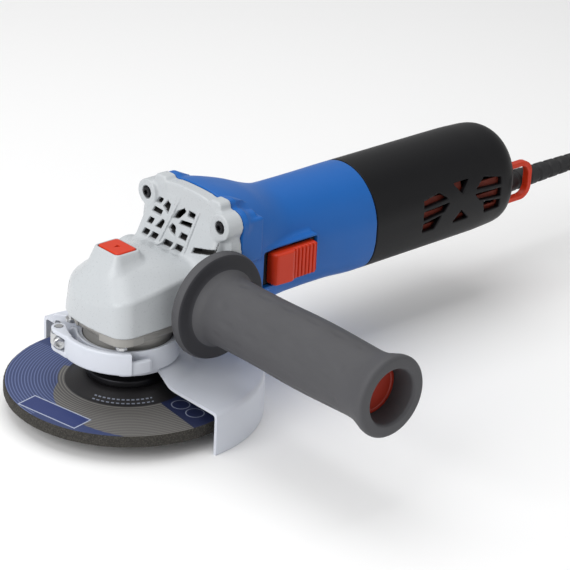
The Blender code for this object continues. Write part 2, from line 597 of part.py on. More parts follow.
def build_rear_fittings(root):
    orange = material("orange_plastic", (0.75, 0.1, 0.02), 0.45)
    spots = ((176.0, 0.0), (244.0, 0.0))
    outer = [ring_at(x, round_section(24.4, 25.4, 25.4, 2.0, 2.7, MOTOR_Z)) for x, _ in spots]
    inner = [ring_at(x, round_section(23.2, 24.2, 24.2, 2.0, 2.7, MOTOR_Z)) for x, _ in spots]
    screen = add_object("dust_screen", tube_loft(outer, inner), orange, root, sharp=50)
    for side in (-1, 1):
        for x in (179.0, 213.0):
            for z in (46.0, 53.5, 61.0):
                boolean(screen, block(*ordered((x, 12.0, z), (x + 28.0, 30.0, z + 4.0), side)))

    strip = 2.2
    outline = [(250.6, 34.3), (277.0, 34.3), (283.0, 37.5), (285.0, 43.0), (285.0, 49.5), (283.0, 54.5),
               (277.0, 57.7), (250.6, 57.7)]
    inside = [(250.6, 37.0), (276.0, 37.0), (280.6, 39.6), (282.0, 44.0), (282.0, 48.5), (280.6, 52.6),
              (276.0, 55.0), (250.6, 55.0)]
    eye = prism(outline + list(reversed(inside)), -9.85 - strip, -9.85 + strip, "Y")
    add_object("hanging_eye", eye, orange, root, sharp=30)

    rubber = material("black_rubber", (0.02, 0.02, 0.022), 0.7)
    profile = [(CORD_R + 0.2, 247.0), (8.2, 247.0), (8.2, 249.5), (6.3, 249.8), (6.3, 262.0)]
    ribs = 7
    for i in range(ribs):
        x = 266.0 + i * 9.0
        r = 6.3 - 0.16 * i
        profile += [(r, x), (r, x + 5.4), (r - 0.5, x + 6.0), (r - 0.5, x + 8.4)]
    profile += [(4.9, SLEEVE_END - 8), (4.7, SLEEVE_END), (CORD_R + 0.2, SLEEVE_END)]
    add_object("cable_sleeve", along_x(turned(profile, 14), z=CORD_Z), rubber, root)
    black = material("switch_plastic", (0.03, 0.03, 0.035), 0.5)
    clamp = block((236.0, -7.0, 35.0), (246.5, 7.0, 47.0))
    grip = add_object("cord_clamp", clamp, black, root)
    boolean(grip, along_x(turned([(0, 230), (CORD_R + 0.2, 230), (CORD_R + 0.2, 250), (0, 250)], 16), z=CORD_Z))
    add_object("switch_module", block((168.0, -9.0, 52.0), (200.0, 9.0, 70.0)), black, root)


def build_stator(root):
    lamination = material("lamination_steel", (0.32, 0.32, 0.33), 0.5, 0.9)
    copper = material("enamelled_copper", (0.55, 0.2, 0.08), 0.35, 0.8)
    brass = material("brass", (0.7, 0.5, 0.2), 0.35, 1.0)
    carbon = material("brush_carbon", (0.05, 0.05, 0.05), 0.6)
    steel = material("zinc_steel", (0.6, 0.6, 0.6), 0.35, 1.0)
    add_object("stator_core", along_x(turned([(18.4, 75.5), (18.4, 114.5), (21.0, 114.5), (21.0, 75.5)], 28)),
               lamination, root)
    for name, begin in (("field_coil_upper", -55.0), ("field_coil_lower", 125.0)):
        coil = turned([(14.9, 69.5), (14.9, 120.5), (18.1, 120.5), (18.1, 69.5)], 10, 110.0, begin)
        add_object(name, along_x(coil), copper, root)
    for side, name in ((-1, "left"), (1, "right")):
        holder = add_object(f"brush_holder_{name}", block(*ordered((128.6, 13.4, 50.8), (136.4, 23.8, 59.0), side)),
                            brass, root)
        boolean(holder, block(*ordered((129.4, 10.0, 51.6), (135.6, 22.8, 58.2), side)))
        boolean(holder, block(*ordered((131.5, 20.0, 54.0), (133.5, 30.0, 56.0), side)))
        add_object(f"carbon_brush_{name}", block(*ordered((129.7, 11.35, 51.9), (135.3, 18.2, 57.9), side)), carbon, root)
        spring = helix(1.9, 0.35, 3.9, 3, 8, 4)
        turn = Matrix.Rotation(math.radians(-90 * side), 4, "X")
        add_object(f"brush_spring_{name}", move_mesh(spring, turn), steel, root, (132.5, 18.55 * side, 54.9))
    ball = turned([(3.6, 142.4), (3.6, 149.6), (12.6, 149.6), (12.6, 142.4)], 24)
    add_object("rear_bearing", along_x(ball), material("ground_steel", (0.55, 0.55, 0.56), 0.3, 1.0), root)


def ordered(low, high, side):
    """Mirror a box across the motor's axis when side is -1, keeping its corners in order."""
    a = (low[0], low[1] * side, low[2])
    b = (high[0], high[1] * side, high[2])
    return tuple(map(min, a, b)), tuple(map(max, a, b))


# --- side handle -------------------------------------------------------------------------------------
def build_handle(root):
    """Soft grip with a flange at the housing and a flared, hollow end, on an orange core."""
    grey = material("grey_soft_grip", (0.12, 0.12, 0.125), 0.75)
    length = HANDLE_FACE - HANDLE_END
    outer = [(28.0, 0.0), (28.0, 3.4), (27.0, 5.3), (20.5, 6.0), (17.8, 10.0), (17.5, 40.0), (18.3, 72.0),
             (17.1, 108.0), (17.6, 114.0), (20.5, 122.5), (20.5, 124.6), (19.4, length), (HANDLE_BORE_R + 0.8, length)]
    inner = [(HANDLE_BORE_R, length - 1.0), (HANDLE_BORE_R - 0.3, length - 15.0), (10.4, length - 15.0), (10.4, 0.0)]
    place = (HANDLE_X, HANDLE_FACE, HANDLE_Z)
    to_side = Matrix.Rotation(math.radians(90), 4, "X")
    add_object("handle_grip", move_mesh(turned(outer + inner, 32), to_side), grey, root, place)
    core = [(0, 34.0), (4.3, 34.0), (4.3, 0.2), (10.1, 0.2), (10.1, length - 14.7), (13.2, length - 14.7),
            (13.2, length - 12.6), (0, length - 12.6)]
    add_object("handle_core", move_mesh(turned(core, 24), to_side),
               material("orange_plastic", (0.75, 0.1, 0.02), 0.45), root, place)
    stud = [(0, -10.5), (3.4, -10.5), (4.0, -9.8), (4.0, 33.0), (0, 33.0)]
    add_object("handle_stud", move_mesh(turned(stud, 20), to_side), material("zinc_steel", (0.6, 0.6, 0.6), 0.35, 1.0),
               root, place)


# --- guard, band and lever ---------------------------------------------------------------------------
def polar(radius, degrees, z=0.0):
    a = math.radians(degrees)
    return Vector((radius * math.cos(a), radius * math.sin(a), z))


def arc_bar(path, z0, z1):
    """Curved bar between z0 and z1 from (angle, inner radius, outer radius) stations."""
    outer = [polar(ro, a) for a, _, ro in path]
    inner = [polar(ri, a) for a, ri, _ in reversed(path)]
    return prism([(p.x, p.y) for p in outer + inner], z0, z1)


def build_guard(pivot):
    white = material("painted_sheet", (0.72, 0.73, 0.76), 0.35)
    top = GUARD_TOP
    under = top - GUARD_SHEET
    skin = GUARD_R - GUARD_SHEET
    profile = [(24.4, 15.4), (26.0, 14.6), (34.0, top + 0.4), (38.0, top), (GUARD_R - 2.0, top), (GUARD_R, top - 2.0),
               (GUARD_R, GUARD_RIM), (skin, GUARD_RIM), (skin, under - 1.0), (skin - 1.0, under), (37.6, under),
               (33.2, under + 0.4), (25.2, 12.9), (23.0, 14.0)]
    guard = add_object("guard", turned(profile, 18, 180.0, -90.0), white, pivot, sharp=35)
    neck = turned([(NECK_R + 0.4, 13.6), (24.6, 13.6), (24.6, 27.0), (NECK_R + 0.4, 27.0)], 36)
    boolean(guard, neck, "UNION")

    path = [(a, 24.9, BAND_R) for a in range(140, 481, 10)]
    band = add_object("guard_band", arc_bar(path, 16.0, 28.0), white, pivot, sharp=35)
    for angle, reach, low, high in ((482.0, 40.0, 19.0, 29.8), (139.0, 29.4, 19.0, 28.0)):
        ear = block((25.2, -1.1, low), (reach, 1.1, high))
        boolean(band, move_mesh(ear, Matrix.Rotation(math.radians(angle), 4, "Z")), "UNION")
    across = bolt_matrix()
    hole = turned([(0, -30), (2.4, -30), (2.4, 30), (0, 30)], 16)
    boolean(band, move_mesh(hole, across))

    steel = material("zinc_steel", (0.6, 0.6, 0.6), 0.35, 1.0)
    bolt = [(0, -8.6), (2.9, -8.6), (3.3, -8.0), (3.3, -5.6), (1.9, -5.6), (1.9, 15.0), (0, 15.0)]
    add_object("clamp_bolt", move_mesh(turned(bolt, 12), across), steel, pivot)
    barrel = [(0, 17.6), (2.0, 17.6), (2.0, 20.9), (4.2, 20.9), (4.2, 27.1), (2.0, 27.1), (2.0, 30.2), (0, 30.2)]
    pin = add_object("lever_pin", move_mesh(turned(barrel, 16), Matrix.Translation(polar(LEVER_PIN_R, LEVER_PIN_ANGLE))),
                     steel, pivot)
    boolean(pin, move_mesh(turned([(0, -9), (2.2, -9), (2.2, 9), (0, 9)], 16), across))


def bolt_matrix():
    """Bolt axis: through the lever's pin, square to its radius, its +z towards the far ear."""
    centre = polar(LEVER_PIN_R, LEVER_PIN_ANGLE, 24.0)
    return (Matrix.Translation(centre) @ Matrix.Rotation(math.radians(LEVER_PIN_ANGLE), 4, "Z")
            @ Matrix.Rotation(math.radians(90), 4, "X"))


def build_lever(pivot):
    """Curved lever that hugs the band: two leaves on the pin, a web, and a finger tab at its tip."""
    white = material("painted_sheet", (0.72, 0.73, 0.76), 0.35)
    back = Matrix.Translation(-polar(LEVER_PIN_R, LEVER_PIN_ANGLE))
    path = [(a, 30.6 - 0.012 * (a - 163), 33.8 - 0.004 * (a - 163)) for a in range(163, 236, 9)]
    lever = add_object("clamp_lever", move_mesh(arc_bar(path, 18.0, 30.0), back), white, pivot, sharp=35)
    tab = [(226, 29.8, 32.6), (234, 29.2, 32.2), (242, 28.4, 31.4), (249, 27.6, 30.6), (253, 27.4, 30.2), (255, 28.0, 29.6)]
    boolean(lever, move_mesh(arc_bar(tab, 17.2, 24.8), back), "UNION")
    for z0, z1 in ((18.0, 20.4), (27.6, 30.0)):
        leaf = [(144.5, 31.2, 37.6), (150.0, 30.6, 37.8), (157.0, 30.5, 35.6), (166.0, 30.5, 33.8)]
        boolean(lever, move_mesh(arc_bar(leaf, z0, z1), back), "UNION")
        round_end = turned([(0, z0), (3.7, z0), (3.7, z1), (0, z1)], 14)
        boolean(lever, round_end, "UNION")
    boolean(lever, turned([(0, 10), (2.3, 10), (2.3, 40), (0, 40)], 16))


# --- button, slider and cord -------------------------------------------------------------------------
def build_lock(pivot):
    orange = material("orange_plastic", (0.75, 0.1, 0.02), 0.45)
    steel = material("ground_steel", (0.55, 0.55, 0.56), 0.3, 1.0)
    shift = BUTTON_X - LOCK_PIN_X
    rings = []
    for z, inset in ((71.8, 0.0), (74.6, 0.0), (75.2, 0.7)):
        outline = rounded_box(shift - 6.3 + inset, shift + 6.3 - inset, -8.0 + inset, 8.0 - inset, 2.0)
        rings.append([(x, y, z) for x, y in outline])
    button = add_object("lock_button", loft(rings), orange, pivot, sharp=30)
    boolean(button, turned([(0, 70.0), (2.3, 70.0), (2.3, 73.0), (0, 73.0)], 16))
    add_object("lock_pin", turned([(0, 51.0), (1.6, 51.0), (2.0, 51.6), (2.0, 72.7), (0, 72.7)], 16), steel, pivot)
    spring = helix(2.6, 0.3, 4.6, 3, 10, 5)
    add_object("lock_spring", move_mesh(spring, Matrix.Translation((0, 0, 66.9))), steel, pivot)


def build_slider(pivot):
    """Slide button: smooth raised front, ribbed rear, and a stem through the housing to the rod."""
    orange = material("orange_plastic", (0.75, 0.1, 0.02), 0.45)
    outline = [(-13.2, -28.8), (-15.2, -33.4), (-13.8, -35.2), (-3.6, -35.8), (-1.2, -33.6)]
    ribs = 6
    for i in range(ribs):
        x = -0.6 + i * 2.5
        outline += [(x, -33.0), (x + 0.6, -34.2), (x + 1.6, -34.2), (x + 2.2, -33.0)]
    outline += [(15.2, -33.4), (15.2, -28.8)]
    body = prism(outline, SLIDER_Z - 8.6, SLIDER_Z + 8.6)
    slider = add_object("slide_button", body, orange, pivot, (0, 0, 0), 30)
    boolean(slider, block((-7.5, -29.2, 59.2), (1.5, -22.2, 63.4)), "UNION")
    rod = block((-10.0, -21.9, 60.4), (84.0, -20.7, 64.4))
    add_object("switch_rod", rod, material("switch_plastic", (0.03, 0.03, 0.035), 0.5), pivot)


def smooth_route(points, spacing):
    """Points every few diameters along a Catmull-Rom curve through the route's own points."""
    ends = [points[0] * 2 - points[1]] + points + [points[-1] * 2 - points[-2]]
    dense = []
    for a, b, c, d in zip(ends, ends[1:], ends[2:], ends[3:]):
        for k in range(24):
            t = k / 24
            dense.append(0.5 * ((2 * b) + (c - a) * t + (2 * a - 5 * b + 4 * c - d) * t * t
                                + (3 * b - a - 3 * c + d) * t ** 3))
    dense.append(points[-1])
    total = sum((q - p).length for p, q in zip(dense, dense[1:]))
    step = total / round(total / spacing)
    route, walked = [dense[0]], 0.0
    for p, q in zip(dense, dense[1:]):
        walked += (q - p).length
        if walked >= step * len(route) - 1e-6:
            route.append(q)
    if (route[-1] - dense[-1]).length > 1e-6:
        route[-1] = dense[-1]
    return route


def build_cord(root):
    """Cord from the sleeve down to the floor, the ring that its coil fills, and its plug."""
    rubber = material("black_rubber", (0.02, 0.02, 0.022), 0.7)
    floor = -DISC_TOP
    lie = floor + CORD_R + 0.15
    outer = COIL_R + COIL_HALF_WIDTH
    inner = COIL_R - COIL_HALF_WIDTH
    beside = outer + CORD_R + 0.4
    points = [Vector((SLEEVE_END + GAP, 0, CORD_Z))]
    for x, y, z in ((350, 0, 40.9), (361, 0.4, 39.0), (371, 1.2, 33.8), (378.4, 2.2, 25.6), (383.6, 3.2, 15.4),
                    (388.8, 4.4, 5.2), (396, 6.2, -3.0), (406, 8.9, -8.4), (417, 11.7, lie)):
        points.append(Vector((x, y, z)))
    points.append(Vector((COIL_X, COIL_Y + beside, lie)))
    curve = bpy.data.curves.new("power_cord", "CURVE")
    curve.dimensions = "3D"
    curve.bevel_depth = CORD_R * MM
    curve.bevel_resolution = 2
    curve.use_fill_caps = True
    route = smooth_route(points, 2.2 * 2 * CORD_R)
    spline = curve.splines.new("POLY")
    spline.points.add(len(route) - 1)
    for point, place in zip(spline.points, route):
        point.co = (*(place * MM), 1.0)
    cord = bpy.data.objects.new("power_cord", curve)
    bpy.context.collection.objects.link(cord)
    curve.materials.append(rubber)
    cord.parent = root
    coil = turned([(inner, 0.3), (outer, 0.3), (outer, COIL_HEIGHT), (inner, COIL_HEIGHT)], 40)
    add_object("cord_coil", coil, rubber, root, (COIL_X, COIL_Y, floor))
    build_plug(root, floor)


def build_plug(root, floor):
    """Two-pin plug with a waisted grip, lying where the coil's outer turn runs out towards -Y."""
    black = material("plug_rubber", (0.02, 0.02, 0.022), 0.6)
    place = (COIL_X + COIL_R + COIL_HALF_WIDTH - CORD_R - 0.1, COIL_Y - PLUG_START, floor + 8.7)
    to_side = Matrix.Rotation(math.radians(-90), 4, "Z")
    rings = []
    for x, wide, high in ((0.0, 5.0, 5.0), (9.0, 6.0, 5.6), (18.0, 8.2, 6.6), (26.0, 8.6, 7.0), (33.0, 12.5, 8.0),
                          (38.0, 17.0, 8.4), (41.0, 17.5, 8.4)):
        rings.append(ring_at(x, round_section(wide, high, high, 2.6, 2.6, 0.0, 24)))
    add_object("plug_body", move_mesh(loft(rings), to_side), black, root, place, 50)
    steel = material("nickel_pin", (0.7, 0.68, 0.62), 0.25, 1.0)
    for number, y in ((1, -9.5), (2, 9.5)):
        pin = along_x(turned([(0, 41.3), (2.0, 41.3), (2.0, 59.0), (1.4, 60.3), (0, 60.3)], 14), z=0)
        pin = move_mesh(move_mesh(pin, Matrix.Translation((0, y, 0))), to_side)
        add_object(f"plug_pin_{number}", pin, steel, root, place)


def main():
    clear_objects()
    root = empty("spindle_zero", (SPINDLE_X, SPINDLE_Y, DISC_TOP))
    build_spindle(empty("spindle_axis", (0, 0, 0), root))
    build_armature(empty("motor_axis", (0, 0, MOTOR_Z), root))
    build_gear_housing(root)
    build_screws(root)
    build_bearing_cover(root)
    build_motor_housing(root)
    build_rear_cover(root)
    build_rear_fittings(root)
    build_stator(root)
    build_handle(root)
    build_guard(empty("guard_axis", (0, 0, 0), root))
    pin = polar(LEVER_PIN_R, LEVER_PIN_ANGLE)
    build_lever(empty("lever_axis", (pin.x, pin.y, 0), root))
    build_lock(empty("lock_axis", (LOCK_PIN_X, 0, 0), root))
    build_slider(empty("slider_axis", (SLIDER_X, 0, 0), root))
    build_cord(root)


main()
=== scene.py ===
"""Surfaces and finishes of an angle grinder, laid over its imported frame.

Lengths are in millimetres from the point where the spindle's axis meets the disc's top face: +X runs
back along the motor, -Y along the side handle, +Z up through the head.  Two ways of making a skin are
used: grids worked out from a profile or a path, and level surfaces of a distance field for castings and
mouldings with fillets and openings.
"""
import math

import bmesh
import bpy
import numpy as np
from mathutils import Matrix, Vector

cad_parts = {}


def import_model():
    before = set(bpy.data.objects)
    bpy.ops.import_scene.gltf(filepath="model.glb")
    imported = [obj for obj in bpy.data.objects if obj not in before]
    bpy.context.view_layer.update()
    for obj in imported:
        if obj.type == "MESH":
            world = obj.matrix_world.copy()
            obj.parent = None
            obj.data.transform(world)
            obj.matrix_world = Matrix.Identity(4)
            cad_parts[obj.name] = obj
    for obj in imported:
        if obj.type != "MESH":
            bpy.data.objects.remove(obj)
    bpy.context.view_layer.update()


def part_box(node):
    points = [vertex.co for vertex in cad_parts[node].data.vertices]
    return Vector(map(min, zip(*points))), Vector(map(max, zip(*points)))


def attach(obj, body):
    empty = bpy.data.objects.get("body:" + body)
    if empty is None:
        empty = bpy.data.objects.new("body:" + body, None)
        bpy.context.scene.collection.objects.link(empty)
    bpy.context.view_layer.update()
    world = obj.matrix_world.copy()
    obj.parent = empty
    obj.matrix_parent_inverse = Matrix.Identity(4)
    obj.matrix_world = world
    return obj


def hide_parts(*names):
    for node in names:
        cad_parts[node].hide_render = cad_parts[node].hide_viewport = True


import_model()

MM = 0.001
THREAD_END = 9.2            # length of the spindle below its zero
spindle_low, spindle_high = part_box("spindle")
ORIGIN = np.array([(spindle_low.x + spindle_high.x) / 2, (spindle_low.y + spindle_high.y) / 2,
                   spindle_low.z + THREAD_END * MM])
FLOOR = -ORIGIN[2] / MM     # height of the floor from the spindle's zero
MOTOR_Z = 55.0              # height of the motor's axis
CORD_Z, CORD_R = 41.0, 3.9
COIL_X, COIL_Y = 436.0, -50.0

# --- camera ------------------------------------------------------------------------------------------
AZIMUTH, ELEVATION, ROLL = math.radians(-43.3), math.radians(24.67), math.radians(2.88)
CAMERA_MM = (-652.5, -805.63, 531.24)
LENS_MM = 144.64


def world(points):
    """Millimetres from the spindle's zero to metres in the frame."""
    return np.asarray(points, float) * MM + ORIGIN


def make_camera():
    """Camera matrix from azimuth, elevation and roll: its columns are right, up and backwards."""
    back = Vector((math.sin(AZIMUTH) * math.cos(ELEVATION), -math.cos(AZIMUTH) * math.cos(ELEVATION),
                   math.sin(ELEVATION)))
    level = (-back).cross(Vector((0, 0, 1))).normalized()
    above = level.cross(-back)
    right = level * math.cos(ROLL) + above * math.sin(ROLL)
    up = above * math.cos(ROLL) - level * math.sin(ROLL)
    data = bpy.data.cameras.new("camera")
    data.lens = LENS_MM
    data.sensor_width = 36.0
    camera = bpy.data.objects.new("camera", data)
    bpy.context.scene.collection.objects.link(camera)
    turn = Matrix((right, up, back)).transposed().to_4x4()
    camera.matrix_world = Matrix.Translation(world(CAMERA_MM)) @ turn
    bpy.context.scene.camera = camera


make_camera()


# --- materials ---------------------------------------------------------------------------------------
MIX_A, MIX_B, MIX_OUT = 6, 7, 2      # a Mix node's colour sockets, which share names with its others


def linear(code):
    """sRGB hex to linear: v/12.92 below 0.04045, else ((v + 0.055) / 1.055) to the power 2.4."""
    values = [int(code[i:i + 2], 16) / 255 for i in (1, 3, 5)]
    return (*[v / 12.92 if v <= 0.04045 else ((v + 0.055) / 1.055) ** 2.4 for v in values], 1.0)


def fill(node, inputs):
    """Give a node's sockets their values: another node's output is linked, anything else is set."""
    for name, value in inputs.items():
        if isinstance(value, bpy.types.NodeSocket):
            node.id_data.links.new(value, node.inputs[name])
        else:
            node.inputs[name].default_value = value


def add(tree, kind, inputs, out=0, **settings):
    """Add one node with its settings and links, and return one of its outputs."""
    made = tree.nodes.new("ShaderNode" + kind)
    for name, value in settings.items():
        setattr(made, name, value)
    fill(made, inputs)
    return made.outputs[out]


def blank(name, code, roughness, metallic=0.0, **sockets):
    """A new material, with what is the same all over set on the shader's own sockets."""
    mat = bpy.data.materials.new(name)
    mat.use_nodes = True
    shader = mat.node_tree.nodes["Principled BSDF"]
    fill(shader, {"Base Color": linear(code), "Roughness": roughness, "Metallic": metallic})
    fill(shader, {key.replace("_", " "): value for key, value in sockets.items()})
    mat.diffuse_color = linear(code)
    return mat, mat.node_tree, shader, add(mat.node_tree, "TexCoord", {}, "Object")


def shade(code, amount):
    """The colour made lighter (amount above 0) or darker (below 0), in linear light."""
    return tuple(min(v * (1 + amount), 1.0) for v in linear(code)[:3]) + (1.0,)


def textured(name, code, roughness, grain_mm, relief_mm, metallic=0.0, tone=0.08, patch_mm=22.0, **sockets):
    """A finish with a fine grain in its relief, and tone and roughness that change slowly across it.

    A noise node's scale is 1 over the size it should have in metres; relief is the grain's height.
    """
    mat, tree, shader, place = blank(name, code, roughness, metallic, **sockets)
    fine = add(tree, "TexNoise", {"Vector": place, "Scale": 1 / (grain_mm * MM), "Detail": 3.0,
                                  "Roughness": 0.55}, "Fac")
    slow = add(tree, "TexNoise", {"Vector": place, "Scale": 1 / (patch_mm * MM), "Detail": 4.0,
                                  "Roughness": 0.6}, "Fac")
    colour = add(tree, "Mix", {0: slow, MIX_A: shade(code, -2 * tone), MIX_B: shade(code, 2 * tone)}, MIX_OUT,
                 data_type="RGBA")
    rough = add(tree, "MapRange", {"Value": fine, "From Min": 0.3, "From Max": 0.7,
                                   "To Min": roughness - 0.04, "To Max": roughness + 0.04})
    bump = add(tree, "Bump", {"Height": fine, "Strength": 0.5, "Distance": relief_mm * MM})
    fill(shader, {"Base Color": colour, "Roughness": rough, "Normal": bump})
    return mat


# Each row of a label table names a value, an operation and what it works on: numbers or earlier values.
# COMPARE is 1 where the first is within the third of the second.  Lengths in mm, angles in degrees.
LABEL_SUMS = (
    ("xx", "MULTIPLY", "x", "x"), ("yy", "MULTIPLY", "y", "y"), ("rr", "ADD", "xx", "yy"),
    ("radius", "SQRT", "rr"), ("minus_x", "MULTIPLY", "x", -1.0), ("minus_y", "MULTIPLY", "y", -1.0),
    ("turn", "ARCTAN2", "minus_y", "minus_x"), ("degrees", "MULTIPLY", "turn", 180 / math.pi),
    ("angle", "ADD", "degrees", 180.0),
    # grooves 1.6 mm apart; their paler tone in one arc is a painted highlight on the label's ridges
    ("wind", "MULTIPLY", "radius", 2 * math.pi / 1.6), ("wave", "SINE", "wind"),
    ("groove_up", "SUBTRACT", "wave", 0.1), ("groove_raw", "DIVIDE", "groove_up", 0.85),
    ("groove_top", "MINIMUM", "groove_raw", 1.0), ("groove", "MAXIMUM", "groove_top", 0.0),
    ("groove_highlight_arc", "COMPARE", "angle", 141.0, 41.0), ("painted_groove_highlight", "MULTIPLY", "groove", "groove_highlight_arc"),
    # a darker copy of the blue towards -Y, from 263 to 300 degrees: painted shadow under the side handle
    ("painted_shadow_arc", "COMPARE", "angle", 281.5, 18.5),
    # grey field, whose edge runs outwards as the angle grows
    ("past", "SUBTRACT", "angle", 150.0), ("past_only", "MAXIMUM", "past", 0.0),
    ("spread", "MULTIPLY", "past_only", 0.33), ("edge", "ADD", "spread", 35.0),
    ("short_of_edge", "LESS_THAN", "radius", "edge"), ("grey_arc", "COMPARE", "angle", 190.75, 72.75),
    ("grey_field", "MULTIPLY", "grey_arc", "short_of_edge"), ("dark_ring", "LESS_THAN", "radius", 31.5),
    # an empty frame: a panel without a slightly smaller one
    ("x_along", "MULTIPLY", "x", -0.985), ("y_along", "MULTIPLY", "y", -0.17),
    ("along", "ADD", "x_along", "y_along"), ("x_across", "MULTIPLY", "x", 0.17),
    ("y_across", "MULTIPLY", "y", -0.985), ("across", "ADD", "x_across", "y_across"),
    ("panel_u", "COMPARE", "along", 51.25, 6.25), ("panel_v", "COMPARE", "across", -2.0, 19.0),
    ("panel", "MULTIPLY", "panel_u", "panel_v"),
    ("hollow_u", "COMPARE", "along", 51.25, 5.55), ("hollow_v", "COMPARE", "across", -2.0, 18.3),
    ("hollow", "MULTIPLY", "hollow_u", "hollow_v"), ("frame", "SUBTRACT", "panel", "hollow"),
    # two empty circles
    ("circle_x", "SUBTRACT", "x", 3.4), ("circle_xx", "MULTIPLY", "circle_x", "circle_x"),
    ("near_y", "ADD", "y", 38.5), ("near_yy", "MULTIPLY", "near_y", "near_y"),
    ("near_rr", "ADD", "circle_xx", "near_yy"), ("near_r", "SQRT", "near_rr"),
    ("far_y", "ADD", "y", 49.5), ("far_yy", "MULTIPLY", "far_y", "far_y"),
    ("far_rr", "ADD", "circle_xx", "far_yy"), ("far_r", "SQRT", "far_rr"),
    ("near_circle", "COMPARE", "near_r", 4.55, 0.25), ("far_circle", "COMPARE", "far_r", 4.55, 0.25),
    ("circles", "MAXIMUM", "near_circle", "far_circle"), ("pale_circles", "MULTIPLY", "circles", 0.6),
    # two rows of dashes round the dark ring
    ("ticks", "MULTIPLY", "angle", 1.25), ("tick_wave", "SINE", "ticks"),
    ("ticked", "GREATER_THAN", "tick_wave", -0.35), ("dash_arc", "COMPARE", "angle", 227.0, 31.0),
    ("inner_row", "COMPARE", "radius", 27.7, 0.3), ("outer_row", "COMPARE", "radius", 29.6, 0.3),
    ("rows", "MAXIMUM", "inner_row", "outer_row"), ("rows_in_arc", "MULTIPLY", "rows", "dash_arc"),
    ("dashes", "MULTIPLY", "rows_in_arc", "ticked"), ("pale_dashes", "MULTIPLY", "dashes", 0.55),
    ("shapes", "MAXIMUM", "frame", "pale_circles"), ("marks", "MAXIMUM", "shapes", "pale_dashes"))
# Each row: a colour's name, the factor, and the two colours it runs between.
LABEL_COLOURS = (
    # the paler blue on the grooves is a painted highlight, and the darker blue on the next line is painted shadow
    ("blue", "grime", "#25325C", "#2E3E6E"), ("blue_with_groove_highlight", "painted_groove_highlight", "blue", "#5F6D97"),
    ("painted_shadow_blue", "grime", "#171D38", "#222B50"), ("field", "painted_shadow_arc", "blue_with_groove_highlight", "painted_shadow_blue"),
    ("grey", "groove", "#525150", "#827F7A"), ("with_grey", "grey_field", "field", "grey"),
    ("black", "grime", "#151416", "#1E1C1E"), ("with_ring", "dark_ring", "with_grey", "black"),
    ("with_panel", "panel", "with_ring", "#20316A"), ("printed", "marks", "with_panel", "#A9B1C4"))


def make_label():
    """Printed paper face of the disc: rings and sectors by polar angle and radius about the spindle.

    A dark ring inside 31.5 mm, a grey field whose edge runs out from 35 mm to the rim as the angle grows,
    dark blue elsewhere, and pale print that is only bars and circles, none of it lettering.  A darker blue
    arc towards -Y is painted shadow under the side handle, and the grooves' paler tone in one arc is a
    painted highlight on the label's ridges.
    """
    mat, tree, shader, place = blank("printed_disc_paper", "#3E4E82", 0.5)
    centred = add(tree, "Mapping", {"Vector": place, "Location": tuple(-ORIGIN / MM), "Scale": (1 / MM,) * 3})
    split = add(tree, "SeparateXYZ", {"Vector": centred}).node.outputs
    grime = add(tree, "TexNoise", {"Vector": centred, "Scale": 0.9, "Detail": 4.0}, "Fac")
    known = {"x": split["X"], "y": split["Y"], "grime": grime}
    for name, operation, *terms in LABEL_SUMS:
        inputs = {i: known.get(term, term) for i, term in enumerate(terms)}
        known[name] = add(tree, "Math", inputs, operation=operation)
    for name, factor, *ends in LABEL_COLOURS:
        first, second = (known[end] if end in known else linear(end) for end in ends)
        known[name] = add(tree, "Mix", {0: known[factor], MIX_A: first, MIX_B: second}, MIX_OUT, data_type="RGBA")
    grit = add(tree, "TexNoise", {"Vector": centred, "Scale": 1.6, "Detail": 5.0}, "Fac")
    bump = add(tree, "Bump", {"Height": grit, "Strength": 0.35, "Distance": 0.15 * MM})
    fill(shader, {"Base Color": known["printed"], "Normal": bump})
    return mat


def make_abrasive():
    """Resin-bonded alumina grit: near-black resin with paler grains about 0.9 mm across."""
    mat, tree, shader, place = blank("bonded_abrasive", "#3A3733", 0.85)
    grain = add(tree, "TexVoronoi", {"Vector": place, "Scale": 1 / (0.9 * MM)}, "Distance")
    tone = add(tree, "MapRange", {"Value": grain, "From Min": 0.1, "From Max": 0.6, "To Min": 1.0, "To Max": 0.0})
    pale = add(tree, "Math", {0: tone, 1: 0.45}, operation="MULTIPLY")
    soot = add(tree, "TexNoise", {"Vector": place, "Scale": 1 / (2.5 * MM), "Detail": 5.0}, "Fac")
    resin = add(tree, "Mix", {0: soot, MIX_A: linear("#171614"), MIX_B: linear("#3B3833")}, MIX_OUT,
                data_type="RGBA")
    colour = add(tree, "Mix", {0: pale, MIX_A: resin, MIX_B: linear("#5E5A52")}, MIX_OUT, data_type="RGBA")
    bump = add(tree, "Bump", {"Height": tone, "Strength": 0.9, "Distance": 0.4 * MM})
    fill(shader, {"Base Color": colour, "Normal": bump})
    return mat


def make_ground_steel(name, code, roughness, pitch_mm, axis):
    """Turned or ground steel: fine rings across the axis, seen as a stretched highlight."""
    mat, tree, shader, place = blank(name, code, roughness, 1.0)
    scale = [0.04, 0.04, 0.04]
    scale[axis] = 1.0
    stretched = add(tree, "Mapping", {"Vector": place, "Scale": scale})
    rings = add(tree, "TexNoise", {"Vector": stretched, "Scale": 1 / (pitch_mm * MM), "Detail": 4.0}, "Fac")
    rough = add(tree, "MapRange", {"Value": rings, "From Min": 0.3, "From Max": 0.7,
                                   "To Min": roughness - 0.08, "To Max": roughness + 0.1})
    bump = add(tree, "Bump", {"Height": rings, "Strength": 0.3, "Distance": 0.05 * MM})
    fill(shader, {"Roughness": rough, "Normal": bump})
    return mat
